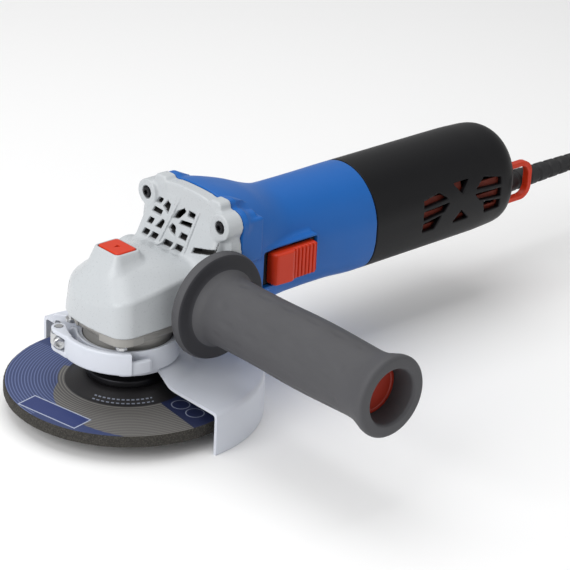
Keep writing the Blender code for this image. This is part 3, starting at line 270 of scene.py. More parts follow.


# Each finish is named for the real material and how its surface was made, or for the painted light or shade it
# carries; the comment is what the eye gets.
powder_casting = textured("powder_coated_casting", "#BEC2C5", 0.30, 1.1, 0.05, tone=0.012)    # smooth pale grey
powder_sheet_painted_light = textured("powder_coated_sheet_painted_light", "#D2D6DF", 0.32, 1.2, 0.04, tone=0.01)         # cooler white, made lighter as painted light against the handle's shade
bare_alloy = textured("die_cast_alloy", "#A3A19D", 0.5, 0.5, 0.1, metallic=0.5, tone=0.06)    # dull, grainy
casting_painted_shade = textured("dark_casting_painted_shade", "#3E3D3C", 0.7, 0.6, 0.12, metallic=0.3)      # painted shade: dark casting in the vents and chamber
blue_nylon = textured("moulded_blue_nylon", "#0E5FAF", 0.42, 0.45, 0.05, tone=0.02,           # fine spark texture
                      Specular_IOR_Level=0.35)
black_nylon = textured("moulded_black_nylon", "#0C0C0F", 0.42, 0.45, 0.06, tone=0.06,         # soft grey sheen
                       Specular_IOR_Level=0.22)
inner_nylon_and_painted_shade = textured("plain_black_nylon_and_painted_shade", "#1E1F21", 0.5, 0.6, 0.05)                        # no texture; also the painted shade inside the blue shell and round the slider
orange_nylon = textured("moulded_orange_nylon", "#CE3411", 0.40, 0.4, 0.04, tone=0.02,        # clean, satin
                        Specular_IOR_Level=0.35)
painted_shade_orange = textured("moulded_orange_core_painted_shade", "#A02812", 0.45, 0.4, 0.04, tone=0.03)          # painted shade: darker orange for the shadowed floor of the grip's bore
dusty_orange = textured("orange_nylon_with_dust", "#6E2412", 0.7, 0.4, 0.05, tone=0.3, patch_mm=6.0)  # sooty
soft_grip = textured("thermoplastic_rubber_grip", "#4B4B4E", 0.62, 0.35, 0.07, tone=0.05,     # dusty grey
                     Specular_IOR_Level=0.4)
rubber = textured("extruded_black_rubber", "#1D1D1F", 0.55, 0.5, 0.05, tone=0.08)             # dull black
zinc = textured("zinc_plated_steel", "#C9CACB", 0.3, 0.6, 0.03, metallic=1.0, tone=0.05)      # bright, cool
black_oxide = textured("black_oxide_steel", "#2B2B2E", 0.33, 0.5, 0.03, metallic=0.8, tone=0.1)  # oily black
laminations = make_ground_steel("stacked_steel_laminations", "#8A8B8E", 0.45, 0.5, 0)         # 0.5 mm sheets
copper_wire = make_ground_steel("enamelled_copper_winding", "#B4602E", 0.35, 0.8, 1)          # 0.8 mm wires
copper_bars = make_ground_steel("turned_copper_bars", "#C77B4C", 0.3, 0.6, 0)                 # bright turned rings
brass = textured("pressed_brass", "#C9A34E", 0.3, 0.6, 0.03, metallic=1.0)                    # warm, smooth
carbon = textured("pressed_graphite", "#3A3A3B", 0.6, 0.4, 0.05)                              # dull dark grey
steel_up = make_ground_steel("ground_steel_upright", "#BDBEC0", 0.28, 0.3, 2)                 # rings about Z
steel_along = make_ground_steel("ground_steel_lengthwise", "#BDBEC0", 0.28, 0.3, 0)           # rings about X
nickel = textured("nickel_plated_brass", "#D8D4C8", 0.2, 0.6, 0.02, metallic=1.0, tone=0.03)  # near mirror
strap_fabric = textured("woven_hook_strap", "#2E2F33", 0.85, 0.7, 0.15, tone=0.1)             # fuzzy, dark
label = make_label()
abrasive = make_abrasive()
flange_grip = textured("grip_flange_rubber", "#2F2F33", 0.62, 0.35, 0.07, tone=0.06,          # darker rubber on the flange's face
                       Specular_IOR_Level=0.3)


# --- grids and lathe work ----------------------------------------------------------------------------
def grid_faces(rows, columns, close_rows=False, close_columns=False):
    """Quads of a rows x columns grid of points, joined round where asked."""
    r, c = np.meshgrid(np.arange(rows if close_rows else rows - 1),
                       np.arange(columns if close_columns else columns - 1), indexing="ij")
    r, c = r.ravel(), c.ravel()
    r2, c2 = (r + 1) % rows, (c + 1) % columns
    return np.stack([r * columns + c, r * columns + c2, r2 * columns + c2, r2 * columns + c], 1)


def add_piece(name, points, faces, body, slot, materials, replaces=(), picks=None, sharp=None, normals=None):
    """Link a closed mesh of points in millimetres.  Without given normals its doubles are merged and its
    faces turned outwards."""
    mesh = bpy.data.meshes.new(name)
    mesh.from_pydata(world(points).tolist(), [], [list(f) for f in faces])
    for material in materials if isinstance(materials, (list, tuple)) else [materials]:
        mesh.materials.append(material)
    if picks is not None:
        mesh.polygons.foreach_set("material_index", np.asarray(picks, np.int32))
    if normals is None:
        bm = bmesh.new()
        bm.from_mesh(mesh)
        bmesh.ops.remove_doubles(bm, verts=bm.verts, dist=1e-7)
        bmesh.ops.recalc_face_normals(bm, faces=bm.faces)
        bm.to_mesh(mesh)
        bm.free()
    mesh.shade_smooth()
    if sharp:
        mesh.set_sharp_from_angle(angle=math.radians(sharp))
    if normals is not None:
        mesh.normals_split_custom_set_from_vertices(normals.tolist())
    obj = bpy.data.objects.new(name, mesh)
    bpy.context.scene.collection.objects.link(obj)
    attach(obj, body)
    if replaces:
        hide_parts(*replaces)
    return obj


def rounded(corners, steps=4):
    """Closed outline with each corner (u, v, radius) turned into an arc that meets both its edges.

    The arc's points lie on a quadratic curve between the two tangent points.
    """
    points = []
    count = len(corners)
    for i, (u, v, radius) in enumerate(corners):
        here = np.array([u, v], float)
        back = np.array(corners[i - 1][:2], float) - here
        ahead = np.array(corners[(i + 1) % count][:2], float) - here
        if radius <= 0 or not np.any(back) or not np.any(ahead):
            points.append(here)
            continue
        lengths = np.linalg.norm(back), np.linalg.norm(ahead)
        reach = min(radius, 0.45 * lengths[0], 0.45 * lengths[1])
        start, end = here + back / lengths[0] * reach, here + ahead / lengths[1] * reach
        for t in np.linspace(0, 1, steps + 1):
            points.append(start * (1 - t) ** 2 + here * 2 * t * (1 - t) + end * t ** 2)
    return np.array(points)


def densed(outline, step):
    """The same closed outline with no edge longer than step."""
    ahead = np.roll(outline, -1, 0)
    pieces = [a + (b - a) * np.linspace(0, 1, max(1, int(np.ceil(np.linalg.norm(b - a) / step))),
                                        endpoint=False)[:, None] for a, b in zip(outline, ahead)]
    return np.concatenate(pieces)


def turned(outline, count, centre=(0, 0, 0), axis="z", first=0.0, sweep=360.0):
    """Outline of (radius, height) carried round an axis: x = r cos a, y = r sin a, z = height.

    Axis x or y swaps the directions over.  Part of a turn is closed with a face at each end.
    """
    full = sweep >= 360
    angles = np.radians(first + sweep * np.arange(count + (0 if full else 1)) / count)[:, None]
    r, h = outline[None, :, 0], outline[None, :, 1]
    a, b, h = np.broadcast_arrays(r * np.cos(angles), r * np.sin(angles), h)
    order = {"z": (a, b, h), "x": (h, a, b), "y": (a, -h, b)}[axis]
    points = np.stack(order, -1).reshape(-1, 3) + np.array(centre)
    rows, columns = len(angles), len(outline)
    faces = grid_faces(rows, columns, full, True).tolist()
    if not full:
        faces += [list(range(columns)), list(range((rows - 1) * columns, rows * columns))]
    return points, faces


def swept(rings):
    """Closed rings of equal length carried along a path, with a flat face at both ends."""
    rings = np.asarray(rings)
    rows, columns = rings.shape[:2]
    faces = grid_faces(rows, columns, False, True).tolist()
    faces += [list(range(columns)), list(range((rows - 1) * columns, rows * columns))]
    return rings.reshape(-1, 3), faces


# --- level surfaces ----------------------------------------------------------------------------------
def join(a, b, k=0.0):
    """The nearer of two fields; k is the width of the fillet between them."""
    if k == 0:
        return np.minimum(a, b)
    h = np.maximum(k - np.abs(a - b), 0) / k
    return np.minimum(a, b) - h * h * k / 4


def meet(a, b, k=0.0):
    """What two fields share; k is the width of the round on the edge between them."""
    return -join(-a, -b, k)


def cut(a, b, k=0.0):
    """The first field without the second."""
    return meet(a, -b, k)


def slab(t, low, high):
    """What lies between two planes: |t - middle| less half the thickness."""
    return np.abs(t - (low + high) / 2) - (high - low) / 2


def block(x, y, z, low, high, r=0.0):
    """Box with round edges: length of the part outside, less the radius."""
    q = [np.abs(t - (l + h) / 2) - (h - l) / 2 + r for t, l, h in zip((x, y, z), low, high)]
    outside = np.sqrt(sum(np.maximum(v, 0) ** 2 for v in q))
    return outside + np.minimum(np.maximum(np.maximum(q[0], q[1]), q[2]), 0) - r


def round_rect(u, v, low_u, high_u, low_v, high_v, r):
    """Flat rectangle with corners of radius r."""
    a, b = slab(u, low_u, high_u) + r, slab(v, low_v, high_v) + r
    return np.hypot(np.maximum(a, 0), np.maximum(b, 0)) + np.minimum(np.maximum(a, b), 0) - r


def extruded(flat, along, low, high, r=0.0):
    """A flat field given a length, with a round of radius r on its end edges."""
    a, b = flat + r, slab(along, low, high) + r
    return np.minimum(np.maximum(a, b), 0) + np.hypot(np.maximum(a, 0), np.maximum(b, 0)) - r


def rod(u, v, radius, along, low, high, r=0.0):
    """Round bar or hole whose axis is where u and v are nought."""
    return extruded(np.hypot(u, v) - radius, along, low, high, r)


def outline_field(u, v, corners):
    """Signed distance to a polygon: nearest edge, with the sign from edge crossings."""
    nearest, sign = np.full(np.broadcast(u, v).shape, 1e9), 1.0
    for (au, av), (bu, bv) in zip(corners, corners[-1:] + corners[:-1]):
        eu, ev = bu - au, bv - av
        wu, wv = u - au, v - av
        t = np.clip((wu * eu + wv * ev) / (eu * eu + ev * ev), 0, 1)
        nearest = np.minimum(nearest, (wu - eu * t) ** 2 + (wv - ev * t) ** 2)
        above, below, left = v >= av, v < bv, eu * wv > ev * wu
        sign = sign * np.where((above & below & left) | (~above & ~below & ~left), -1.0, 1.0)
    return sign * np.sqrt(nearest)


def gradient(field, points, h):
    """Central differences of a field at points."""
    steps = np.eye(3) * h
    return np.stack([(field(*(points + s).T) - field(*(points - s).T)) / (2 * h) for s in steps], 1)


def level_surface(field, low, high, cell):
    """Skin of a field's zero level by surface nets, moved onto the level along its gradient.

    One point per cell that the level crosses, at the mean of its edge crossings; one quad per grid edge
    that it crosses.  Returns points, faces and normals.
    """
    axes = [np.arange(l - 1.6 * cell, h + 2.6 * cell, cell) for l, h in zip(low, high)]
    x, y, z = axes[0][:, None, None], axes[1][None, :, None], axes[2][None, None, :]
    shape = tuple(len(a) for a in axes)
    values = np.broadcast_to(field(x, y, z), shape).astype(np.float32)
    inside = values < 0
    corner = lambda a, i, j, k: a[i:shape[0] - 1 + i, j:shape[1] - 1 + j, k:shape[2] - 1 + k]
    total = sum(corner(inside, i, j, k).astype(np.int8) for i in (0, 1) for j in (0, 1) for k in (0, 1))
    active = np.argwhere((total > 0) & (total < 8))
    index = np.full(total.shape, -1, np.int64)
    index[tuple(active.T)] = np.arange(len(active))
    summed, count = np.zeros((len(active), 3)), np.zeros(len(active))
    for axis in range(3):
        step = np.eye(3, dtype=int)[axis]
        others = [a for a in range(3) if a != axis]
        for i in (0, 1):
            for j in (0, 1):
                offset = np.zeros(3, int)
                offset[others[0]], offset[others[1]] = i, j
                first = values[tuple((active + offset).T)].astype(float)
                second = values[tuple((active + offset + step).T)].astype(float)
                crossed = (first < 0) != (second < 0)
                t = np.where(crossed, first / np.where(crossed, first - second, 1.0), 0.0)
                summed += (active + offset + step * t[:, None]) * crossed[:, None]
                count += crossed
    points = summed / count[:, None] * cell + np.array([a[0] for a in axes])
    faces = []
    for axis in range(3):
        u, v = (axis + 1) % 3, (axis + 2) % 3
        step = np.eye(3, dtype=int)[axis]
        ahead = np.roll(inside, -1, axis)
        at = np.argwhere(inside != ahead)
        keep = (at[:, axis] < shape[axis] - 1) & (at[:, u] > 0) & (at[:, v] > 0)
        keep &= (at[:, u] < shape[u] - 1) & (at[:, v] < shape[v] - 1)
        at = at[keep]
        du, dv = np.eye(3, dtype=int)[u], np.eye(3, dtype=int)[v]
        ring = [index[tuple((at - a * du - b * dv).T)] for a, b in ((1, 1), (0, 1), (0, 0), (1, 0))]
        quads = np.stack(ring, 1)
        outwards = inside[tuple(at.T)]
        faces.append(np.where(outwards[:, None], quads, quads[:, ::-1]))
    start = points.copy()
    for _ in range(3):
        slope = gradient(field, points, 0.05)
        move = -field(*points.T)[:, None] * slope / np.maximum((slope ** 2).sum(1), 0.05)[:, None]
        points = points + move
        away = points - start
        far = np.linalg.norm(away, axis=1, keepdims=True)
        points = start + away * np.minimum(1.0, 0.6 * cell / np.maximum(far, 1e-9))
    normals = gradient(field, points, 0.3 * cell)
    normals /= np.maximum(np.linalg.norm(normals, axis=1, keepdims=True), 1e-9)
    return points, np.concatenate(faces), normals


def moulded(name, field, low, high, cell, body, slot, material, replaces=(), within=None):
    """A piece from a field.

    Faces whose middles are within the last field take the second material.
    """
    size = cell * 1.0
    points, faces, normals = level_surface(field, low, high, size)
    picks = None
    if within:
        picks = (within(*points[faces].mean(1).T) < 0).astype(int)
    return add_piece(name, points, faces, body, slot, material, replaces, picks=picks, normals=normals)


# --- the cord, its coil, tie and plug ----------------------------------------------------------------
def smooth_route(points, spacing):
    """Points at even distances along a Catmull-Rom curve through the given ones."""
    points = np.asarray(points, float)
    ends = np.vstack([2 * points[0] - points[1], points, 2 * points[-1] - points[-2]])
    t = np.linspace(0, 1, 24, endpoint=False)[None, :, None]
    a, b, c, d = (ends[k:len(ends) - 3 + k, None, :] for k in range(4))
    dense = 0.5 * (2 * b + (c - a) * t + (2 * a - 5 * b + 4 * c - d) * t ** 2 + (3 * b - a - 3 * c + d) * t ** 3)
    dense = np.vstack([dense.reshape(-1, 3), points[-1]])
    walked = np.concatenate([[0], np.cumsum(np.linalg.norm(np.diff(dense, axis=0), axis=1))])
    wanted = np.linspace(0, walked[-1], int(round(walked[-1] / spacing)) + 1)
    return np.stack([np.interp(wanted, walked, dense[:, k]) for k in range(3)], 1)


def eased(t):
    """From 0 to 1 with no kink at either end: 3 t^2 - 2 t^3."""
    t = np.clip(t, 0, 1)
    return t * t * (3 - 2 * t)


TURN_RADII = (63.1, 55.1, 47.1, 39.1, 31.1)
LAYER_RISE = 7.85                       # from the lower layer of turns to the upper
LIE = FLOOR + CORD_R + 0.15             # height of a cord's middle when it lies on the floor


def coil_route():
    """Two flat layers of turns round the coil's centre, clockwise from above.

    Angle = 90 - walked degrees.  The first layer steps inwards by a diameter early in each turn, the
    second steps outwards late in each turn, and the cord leaves towards -Y for the plug.
    """
    walked = np.arange(0, 7 * 360 + 91, 20.0)
    turn, part = np.divmod(walked, 360)
    radius = np.full(len(walked), TURN_RADII[0])
    for i in range(1, 5):
        radius -= (TURN_RADII[i - 1] - TURN_RADII[i]) * eased((walked - 360 * (i - 1)) / 60)
    for i in range(3):
        radius += 8.0 * eased((walked - 360 * (4 + i) - 300) / 60)
    climb = eased((walked - 4 * 360 + 30) / 60)
    height = LIE + LAYER_RISE * climb
    angle = np.radians(90 - walked)
    return np.stack([COIL_X + radius * np.cos(angle), COIL_Y + radius * np.sin(angle), height], 1)


PLUG_PLACE = np.array([COIL_X + 55.1, COIL_Y - 32.0, FLOOR + 8.7])


def make_cord():
    """Jacketed cord: straight out of the sleeve, down under its weight, along the floor and coiled."""
    drop = [(342.3, 0, 41), (350, 0, 40.9), (361, 0.4, 39.0), (371, 1.2, 33.8), (378.4, 2.2, 25.6),
            (383.6, 3.2, 15.4), (388.8, 4.4, 5.2), (396, 6.2, -3.0), (406, 8.9, -8.4), (417, 11.7, LIE),
            (COIL_X, COIL_Y + TURN_RADII[0], LIE)]
    route = smooth_route(drop, 6.0)
    coil = coil_route()[1:]
    tail_y = np.linspace(COIL_Y, PLUG_PLACE[1], 5)[1:]
    tail_z = coil[-1, 2] + (PLUG_PLACE[2] - coil[-1, 2]) * eased(np.linspace(0, 1, 5)[1:])
    tail = np.stack([np.full(4, PLUG_PLACE[0]), tail_y, tail_z], 1)
    points = np.vstack([route, coil, tail])
    curve = bpy.data.curves.new("power_cord_jacket", "CURVE")
    curve.dimensions = "3D"
    curve.bevel_depth = CORD_R * MM
    curve.bevel_resolution = 5
    curve.use_fill_caps = True
    spline = curve.splines.new("POLY")
    spline.points.add(len(points) - 1)
    spline.points.foreach_set("co", np.hstack([world(points), np.ones((len(points), 1))]).ravel())
    spline.use_smooth = True
    curve.materials.append(rubber)
    cord = bpy.data.objects.new("power_cord_jacket", curve)
    bpy.context.scene.collection.objects.link(cord)
    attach(cord, "machine")
    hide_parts("power_cord", "cord_coil")
    return cord


def superellipse(half, top, bottom, n_top, n_bottom, centre, count):
    """Points (y, z): y = half |cos a|^(2/n) sign, z = centre + height |sin a|^(2/n) sign."""
    a = 2 * np.pi * (np.arange(count) + 0.5) / count
    c, s = np.cos(a), np.sin(a)
    power = 2 / np.where(s > 0, n_top, n_bottom)
    height = np.where(s > 0, top, bottom)
    return np.stack([half * np.sign(c) * np.abs(c) ** power, centre + height * np.sign(s) * np.abs(s) ** power], 1)


def make_plug():
    """Two-pin plug: ribbed strain relief, waist to hold, and a wide face with two sleeved pins."""
    rows = [(0.0, 4.9, 4.9), (0.4, 5.0, 5.0), (2.4, 5.0, 5.0), (2.8, 4.4, 4.4), (3.6, 4.4, 4.4), (4.0, 5.2, 5.2),
            (6.0, 5.2, 5.2), (6.4, 4.6, 4.6), (7.2, 4.6, 4.6), (7.6, 5.6, 5.4), (9.0, 6.0, 5.6), (13.0, 7.0, 6.1),
            (18.0, 8.2, 6.6), (22.0, 8.4, 6.8), (26.0, 8.6, 7.0), (29.5, 10.0, 7.4), (33.0, 12.5, 8.0),
            (36.0, 15.6, 8.3), (38.0, 17.0, 8.4), (40.4, 17.5, 8.4), (40.9, 17.3, 8.2), (41.0, 16.8, 7.7)]
    rings = []
    for x, wide, high in rows:
        section = superellipse(wide, high, high, 2.6, 2.6, 0.0, 40)
        rings.append(np.column_stack([section[:, 0], np.full(40, -x), section[:, 1]]) + PLUG_PLACE)
    parts = [add_piece("plug_moulding", *swept(rings), "machine", "black_rubber", rubber, ["plug_body"], sharp=40)]
    for number, x in ((1, -9.5), (2, 9.5)):
        outline = rounded([(0, 0.2, 0), (2.0, 0.2, 0.1), (2.0, 10.2, 0.1), (1.85, 10.4, 0), (1.85, 18.0, 0.9),
                           (1.2, 19.1, 0.5), (0, 19.3, 0)], 3)
        parts.append(add_piece(f"plug_contact_{number}", *turned(outline, 20, PLUG_PLACE + (x, -41.0, 0), "y"),
                               "machine", "nickel_pin", nickel, [f"plug_pin_{number}"], sharp=40))
    return parts


def make_tie():
    """Hook-and-loop strap round the coil's bundle: its section carried round a rounded rectangle."""
    inner_r, outer_r = TURN_RADII[-1] - CORD_R - 0.2, TURN_RADII[0] + CORD_R + 0.2
    low, high = FLOOR + 0.1, LIE + LAYER_RISE + CORD_R + 0.35
    loop = densed(rounded([(inner_r, low, 3.2), (outer_r, low, 3.2), (outer_r, low + 8.4, 4.0),
                           (outer_r - 7.0, high, 4.0), (inner_r, high, 3.2)], 6), 1.5)
    ahead = np.roll(loop, -1, 0) - np.roll(loop, 1, 0)
    side = np.stack([ahead[:, 1], -ahead[:, 0]], 1) / np.linalg.norm(ahead, axis=1, keepdims=True)
    angle = math.radians(-160)
    out, across = np.array([math.cos(angle), math.sin(angle)]), np.array([-math.sin(angle), math.cos(angle)])
    rim = [(0.0, -4.8), (0.0, -5.0), (0.4, -5.1), (0.8, -5.0), (0.8, -4.8)]      # offset outwards, place across
    rings = []
    for offset, aside in rim + [(offset, -aside) for offset, aside in rim[::-1]]:
        line = loop + side * offset
        rings.append(np.column_stack([line[:, :1] * out + aside * across + (COIL_X, COIL_Y), line[:, 1]]))
    faces = grid_faces(len(rings), len(loop), True, True)
    return add_piece("cord_strap", np.concatenate(rings), faces, "machine", "black_rubber", strap_fabric, sharp=40)


cord = make_cord()
cord_extras = make_plug() + [make_tie()]


# --- things that turn with the spindle ---------------------------------------------------------------
def make_disc():
    """Depressed-centre disc: paper label above, grit at its rim and below."""
    top = [(11.25, 5.0, 0.3), (23.3, 5.0, 1.6), (31.0, 0.0, 3.0), (61.9, 0.0, 0.5), (62.5, -0.6, 0.4),
           (62.5, -5.5, 0.5), (62.0, -6.0, 0.4), (31.0, -6.0, 3.0), (23.3, -1.0, 1.6), (11.25, -1.0, 0.3)]
    points, faces = turned(densed(rounded(top, 5), 1.2), 160)
    angle = np.arctan2(points[:, 1], points[:, 0])
    radius = np.hypot(points[:, 0], points[:, 1])
    rim = np.clip((radius - 61.2) / 1.2, 0, 1)
    points[:, :2] *= (1 - rim * (0.0022 + 0.002 * np.sin(23 * angle) * np.sin(41 * angle + 1.3)))[:, None]
    middle = points[np.asarray(faces)].mean(1)
    r = np.hypot(middle[:, 0], middle[:, 1])
    hub_top = 5.0 - 5.0 * np.clip((r - 23.3) / 7.7, 0, 1)
    printed = (middle[:, 2] > hub_top - 1.0) & (r < 61.0)
    add_piece("disc_bonded", points, faces, "spindle_group", "disc_abrasive", [abrasive, label],
              ["grinding_disc"], picks=np.where(printed, 1, 0), sharp=50)


def flange_nut(x, y, z):
    """Nut under the disc: a flat washer face, a cone below it and four blind holes for a pin spanner."""
    r = np.hypot(x, y)
    body = np.maximum(slab(z, -7.6, -1.3), r - np.minimum(20.0, 20.0 - (-6.2 - z) * 2.6))
    body = np.maximum(body, 7.1 - r)
    ring = 14.6 * math.sqrt(0.5)
    return cut(body, np.maximum(np.hypot(np.abs(x) - ring, np.abs(y) - ring) - 2.1, z + 3.2), 0.3)


def make_spindle():
    """Ground shaft whose lower end is an M14 thread: radius swings by a triangle wave that winds round."""
    count, pitch = 48, 2.0
    z = np.concatenate([np.arange(-9.2, 5.0, 0.25), [5.2, 11.8]])
    angle = 2 * np.pi * np.arange(count) / count
    phase = (z[:, None] / pitch - angle[None, :] / (2 * np.pi)) % 1
    wave = np.abs(phase * 2 - 1)
    fade = np.clip((z - 3.4) / 1.4, 0, 1)[:, None]
    start = np.clip((-8.0 - z) / 1.2, 0, 1)[:, None]
    radius = 7.0 - 1.1 * (1 - wave) * (1 - fade) - 0.9 * start * wave
    low = np.stack([radius * np.cos(angle), radius * np.sin(angle), np.broadcast_to(z[:, None], radius.shape)], -1)
    upper = [(9.0, 11.8), (9.0, 19.0), (6.0, 19.0), (6.0, 50.5), (4.0, 50.5), (4.0, 61.0)]
    rings = [np.column_stack([r * np.cos(angle), r * np.sin(angle), np.full(count, h)]) for r, h in upper]
    points, faces = swept(np.concatenate([low, np.array(rings)]))
    add_piece("spindle_threaded", points, faces, "spindle_group", "ground_steel", steel_up, ["spindle"], sharp=40)


make_disc()
inner_flange = rounded([(7.1, 5.3, 0), (21.0, 5.3, 0.5), (21.0, 8.4, 0.6), (16.5, 11.4, 0.8), (7.1, 11.4, 0.3)], 4)
add_piece("flange_inner", *turned(inner_flange, 72), "spindle_group", "black_oxide_steel", black_oxide,
          ["inner_flange"], sharp=35)
moulded("flange_nut_forged", flange_nut, (-20.2, -20.2, -7.7), (20.2, 20.2, -1.2), 0.55, "spindle_group",
        "black_oxide_steel", black_oxide, ["flange_nut"])
make_spindle()


# --- head: gear housing and what is fixed to it ------------------------------------------------------
BUTTON_X, LOCK_PIN_X = -7.75, -11.2
HANDLE_X, HANDLE_Z = 26.0, 48.0
SCREW_Y, SCREW_UP = 28.5, 29.5            # the four housing screws, from the motor's axis
COVER_SCREW = 20.0                        # the four under the head, along X and Y from the spindle's axis
VENT_ROWS = (65.3, 70.9, 76.7, 81.4)


def wall_x(z):
    """Where the leaning vent wall's face stands at a height."""
    return 25.0 + 0.49 * (z - 62.0)


def flange_distance(y, z, half=33.7, high=36.0):
    """Cubic superellipse (u^3 + v^3)^(1/3) = 1, scaled so that it reads in millimetres near its edge."""
    half = half + 1.6 * np.clip((86.0 - z) / 10.0, 0, 1)
    u, v = np.abs(y) / half, np.abs(z - 59.0) / high
    return ((u ** 3.0 + v ** 3.0) ** (1 / 3.0) - 1) * 33.7


def screw_holes(y, z):
    """Distances across the four housing screws: nought on each one's axis."""
    return np.abs(y) - SCREW_Y, np.abs(z - MOTOR_Z) - SCREW_UP


def vent_outlines():
    """Corners (y, z) of the openings in the vent wall, most of them four-sided."""
    r = VENT_ROWS
    return [[(23.4, r[0]), (22.7, r[0] + 2.7), (18.6, r[0] + 2.7), (19.3, r[0])],
            [(17.0, r[0]), (16.2, r[0] + 2.7), (11.8, r[0] + 2.7), (12.4, r[0])],
            [(22.8, r[1]), (22.0, r[1] + 2.6), (18.7, r[1] + 2.6), (19.4, r[1])],
            [(15.9, r[1]), (13.0, r[1] + 4.2), (11.2, r[1] + 3.6), (11.9, r[1])],
            [(22.2, r[2]), (21.5, r[2] + 2.2), (15.3, r[2] + 1.8), (15.4, r[2] - 0.3)],
            [(21.3, r[3]), (20.2, r[3] + 2.4), (17.5, r[3] + 2.4), (18.6, r[3])],
            [(15.9, r[3] - 0.6), (14.0, r[3] + 2.5), (11.5, r[3] + 1.3), (11.2, r[3] - 3.0)],
            [(7.0, r[0] - 0.6), (6.2, r[0] + 2.2), (0.2, r[0] + 2.2), (0.3, r[0] - 0.2)],
            [(-2.1, r[0]), (-2.6, r[0] + 2.6), (-7.8, r[0] + 2.7), (-7.9, r[0])],
            [(6.4, r[1] + 2.2), (5.4, r[1] + 4.5), (2.3, r[1] + 3.5), (0.8, r[1]), (4.5, r[1] + 0.8)],
            [(-2.3, r[1]), (-2.9, r[1] + 2.5), (-8.2, r[1] + 2.5), (-8.2, r[1])],
            [(0.8, r[2]), (0.0, r[2] + 1.7), (-7.7, r[2] + 2.5), (-7.7, r[2] + 0.6)],
            [(6.1, r[3] - 3.2), (5.1, r[3]), (1.0, r[3] + 2.5), (-0.5, r[3] + 1.7), (2.6, r[3] - 2.6)],
            [(-2.8, r[3]), (-2.7, r[3] + 2.5), (-7.5, r[3] + 2.3), (-7.9, r[3])],
            [(-14.6, 67.4), (-14.8, 69.8), (-27.6, 72.4), (-27.6, 70.4)]]


def gear_housing(x, y, z):
    """Nose with a hipped roof, leaning vent wall, flange with screw lugs, button boss, handle bosses."""
    lean = 0.035 * (z - 38.0)
    bow = y ** 2 / 180.0
    nose = round_rect(x - bow, np.abs(y) + lean, -28.3, 60.0, -27.0, 27.0, 7.0)
    corner = -0.728 * x + 0.686 * y - (32.2 - 0.16 * (z - 38.0))
    nose = meet(meet(nose, corner, 6.0), 38.0 - z, 0.8)
    hip_front = (z - 56.0 - 1.75 * (x + 25.3)) * 0.5
    hip_side = (z - 57.0 - 0.12 * (x + 19.0) - 0.78 * (25.8 - np.abs(y))) * 0.79
    hip_corner = (z - 65.0 - 0.78 * (9.3 - y) - 1.1 * (x + 19.7)) * 0.6
    hip_back = (z - 73.3 + 0.41 * (x - 2.0)) * 0.92
    roof = meet(meet(hip_back, z - 73.2, 4.0), meet(hip_front, hip_corner, 3.0), 3.0)
    roof = meet(roof - 0.8, hip_side, 8.0)
    nose = meet(nose, roof, 1.2)
    slope = (wall_x(z) - x) * 0.898
    wall = meet(meet(slope, np.abs(y) - 29.5, 5.0), meet(z - 93.2, 50.3 - z, 3.0), 2.0)
    wall = meet(wall, flange_distance(y, z, 31.2, 34.6), 1.5)
    body = join(nose, wall, 4.5)
    rim = flange_distance(y, z)
    plate = extruded(rim, x, 36.5, 46.0, 1.0)
    bump = extruded(round_rect(np.abs(y), z, 16.5, 25.5, 84.0, 95.6, 2.5), x, 36.2, 46.0, 1.2)
    body = join(body, join(plate, bump, 1.5), 2.0)
    body = join(body, rod(*screw_holes(y, z), 6.9, x, 33.5, 46.0, 0.7), 2.5)
    body = join(body, rod(x - HANDLE_X, z - HANDLE_Z, 12.5, np.abs(y), 20.0, 35.2, 1.0), 2.0)
    grow = 1.3 + 0.42 * (75.0 - z)
    boss = (round_rect(x, y, BUTTON_X - 6.3, BUTTON_X + 6.3, -8.0, 8.0, 1.2) - grow) * 0.9
    boss = meet(meet(boss, z - 75.0, 1.2), 60.0 - z)
    body = join(body, boss, 1.6)
    for y0, z0, y1, z1, half in ((10.1, 61.7, 6.6, 86.2, 1.0), (-10.0, 63.7, -9.8, 82.5, 0.9)):
        t = np.clip((z - z0) / (z1 - z0), -0.2, 1.15)
        rib = np.maximum(np.abs(y - (y0 + (y1 - y0) * t)) - half, slope - 1.1)
        rib = np.maximum(rib, np.maximum(60.0 - z, z - z1 - 3.0))
        body = join(body, rib, 1.2)
    body = meet(body, x - 43.2)
    chamber = meet(block(x, y, z, (-22.6, -23.6, 20.0), (22.4, 23.6, 58.0), 9.0), roof + 4.0, 2.0)
    body = cut(body, chamber)
    body = join(body, rod(x, y, 9.3, z, 54.0, 63.0, 0.3), 0.6)
    body = cut(body, rod(x, y, 6.8, z, 50.0, 62.0))
    for radius, low, high in ((8.0, 5.0, 31.0), (13.4, 29.9, 46.0)):
        body = cut(body, rod(y, z - MOTOR_Z, radius, x, low, high))
    well = extruded(round_rect(x, y, BUTTON_X - 6.7, BUTTON_X + 6.7, -8.4, 8.4, 2.2), z, 66.6, 90.0)
    body = cut(body, well, 0.5)
    body = cut(body, rod(x - LOCK_PIN_X, y, 2.4, z, 50.0, 68.0))
    arc = np.hypot(y, z - MOTOR_Z)
    duct = np.maximum(np.maximum(arc - 31.0, 18.0 - arc), 33.5 + (arc - 18.0) * 0.523 - x)
    duct = np.maximum(duct, MOTOR_Z - z)
    body = cut(body, duct)
    for outline in vent_outlines():
        low = min(v for _, v in outline)
        hole = extruded(outline_field(y, z, outline) - 0.25, x, wall_x(low) - 4.0, wall_x(low) + 6.5)
        body = cut(body, hole, 0.5)
    body = cut(body, rod(*screw_holes(y, z), 3.4, x, 25.0, 35.5), 0.5)
    body = cut(body, rod(*screw_holes(y, z), 2.35, x, 30.0, 50.0))
    body = cut(body, rod(x - HANDLE_X, z - HANDLE_Z, 4.4, np.abs(y), 24.5, 45.0), 0.6)
    return cut(body, rod(np.abs(x) - COVER_SCREW, np.abs(y) - COVER_SCREW, 2.2, z, 30.0, 47.0))


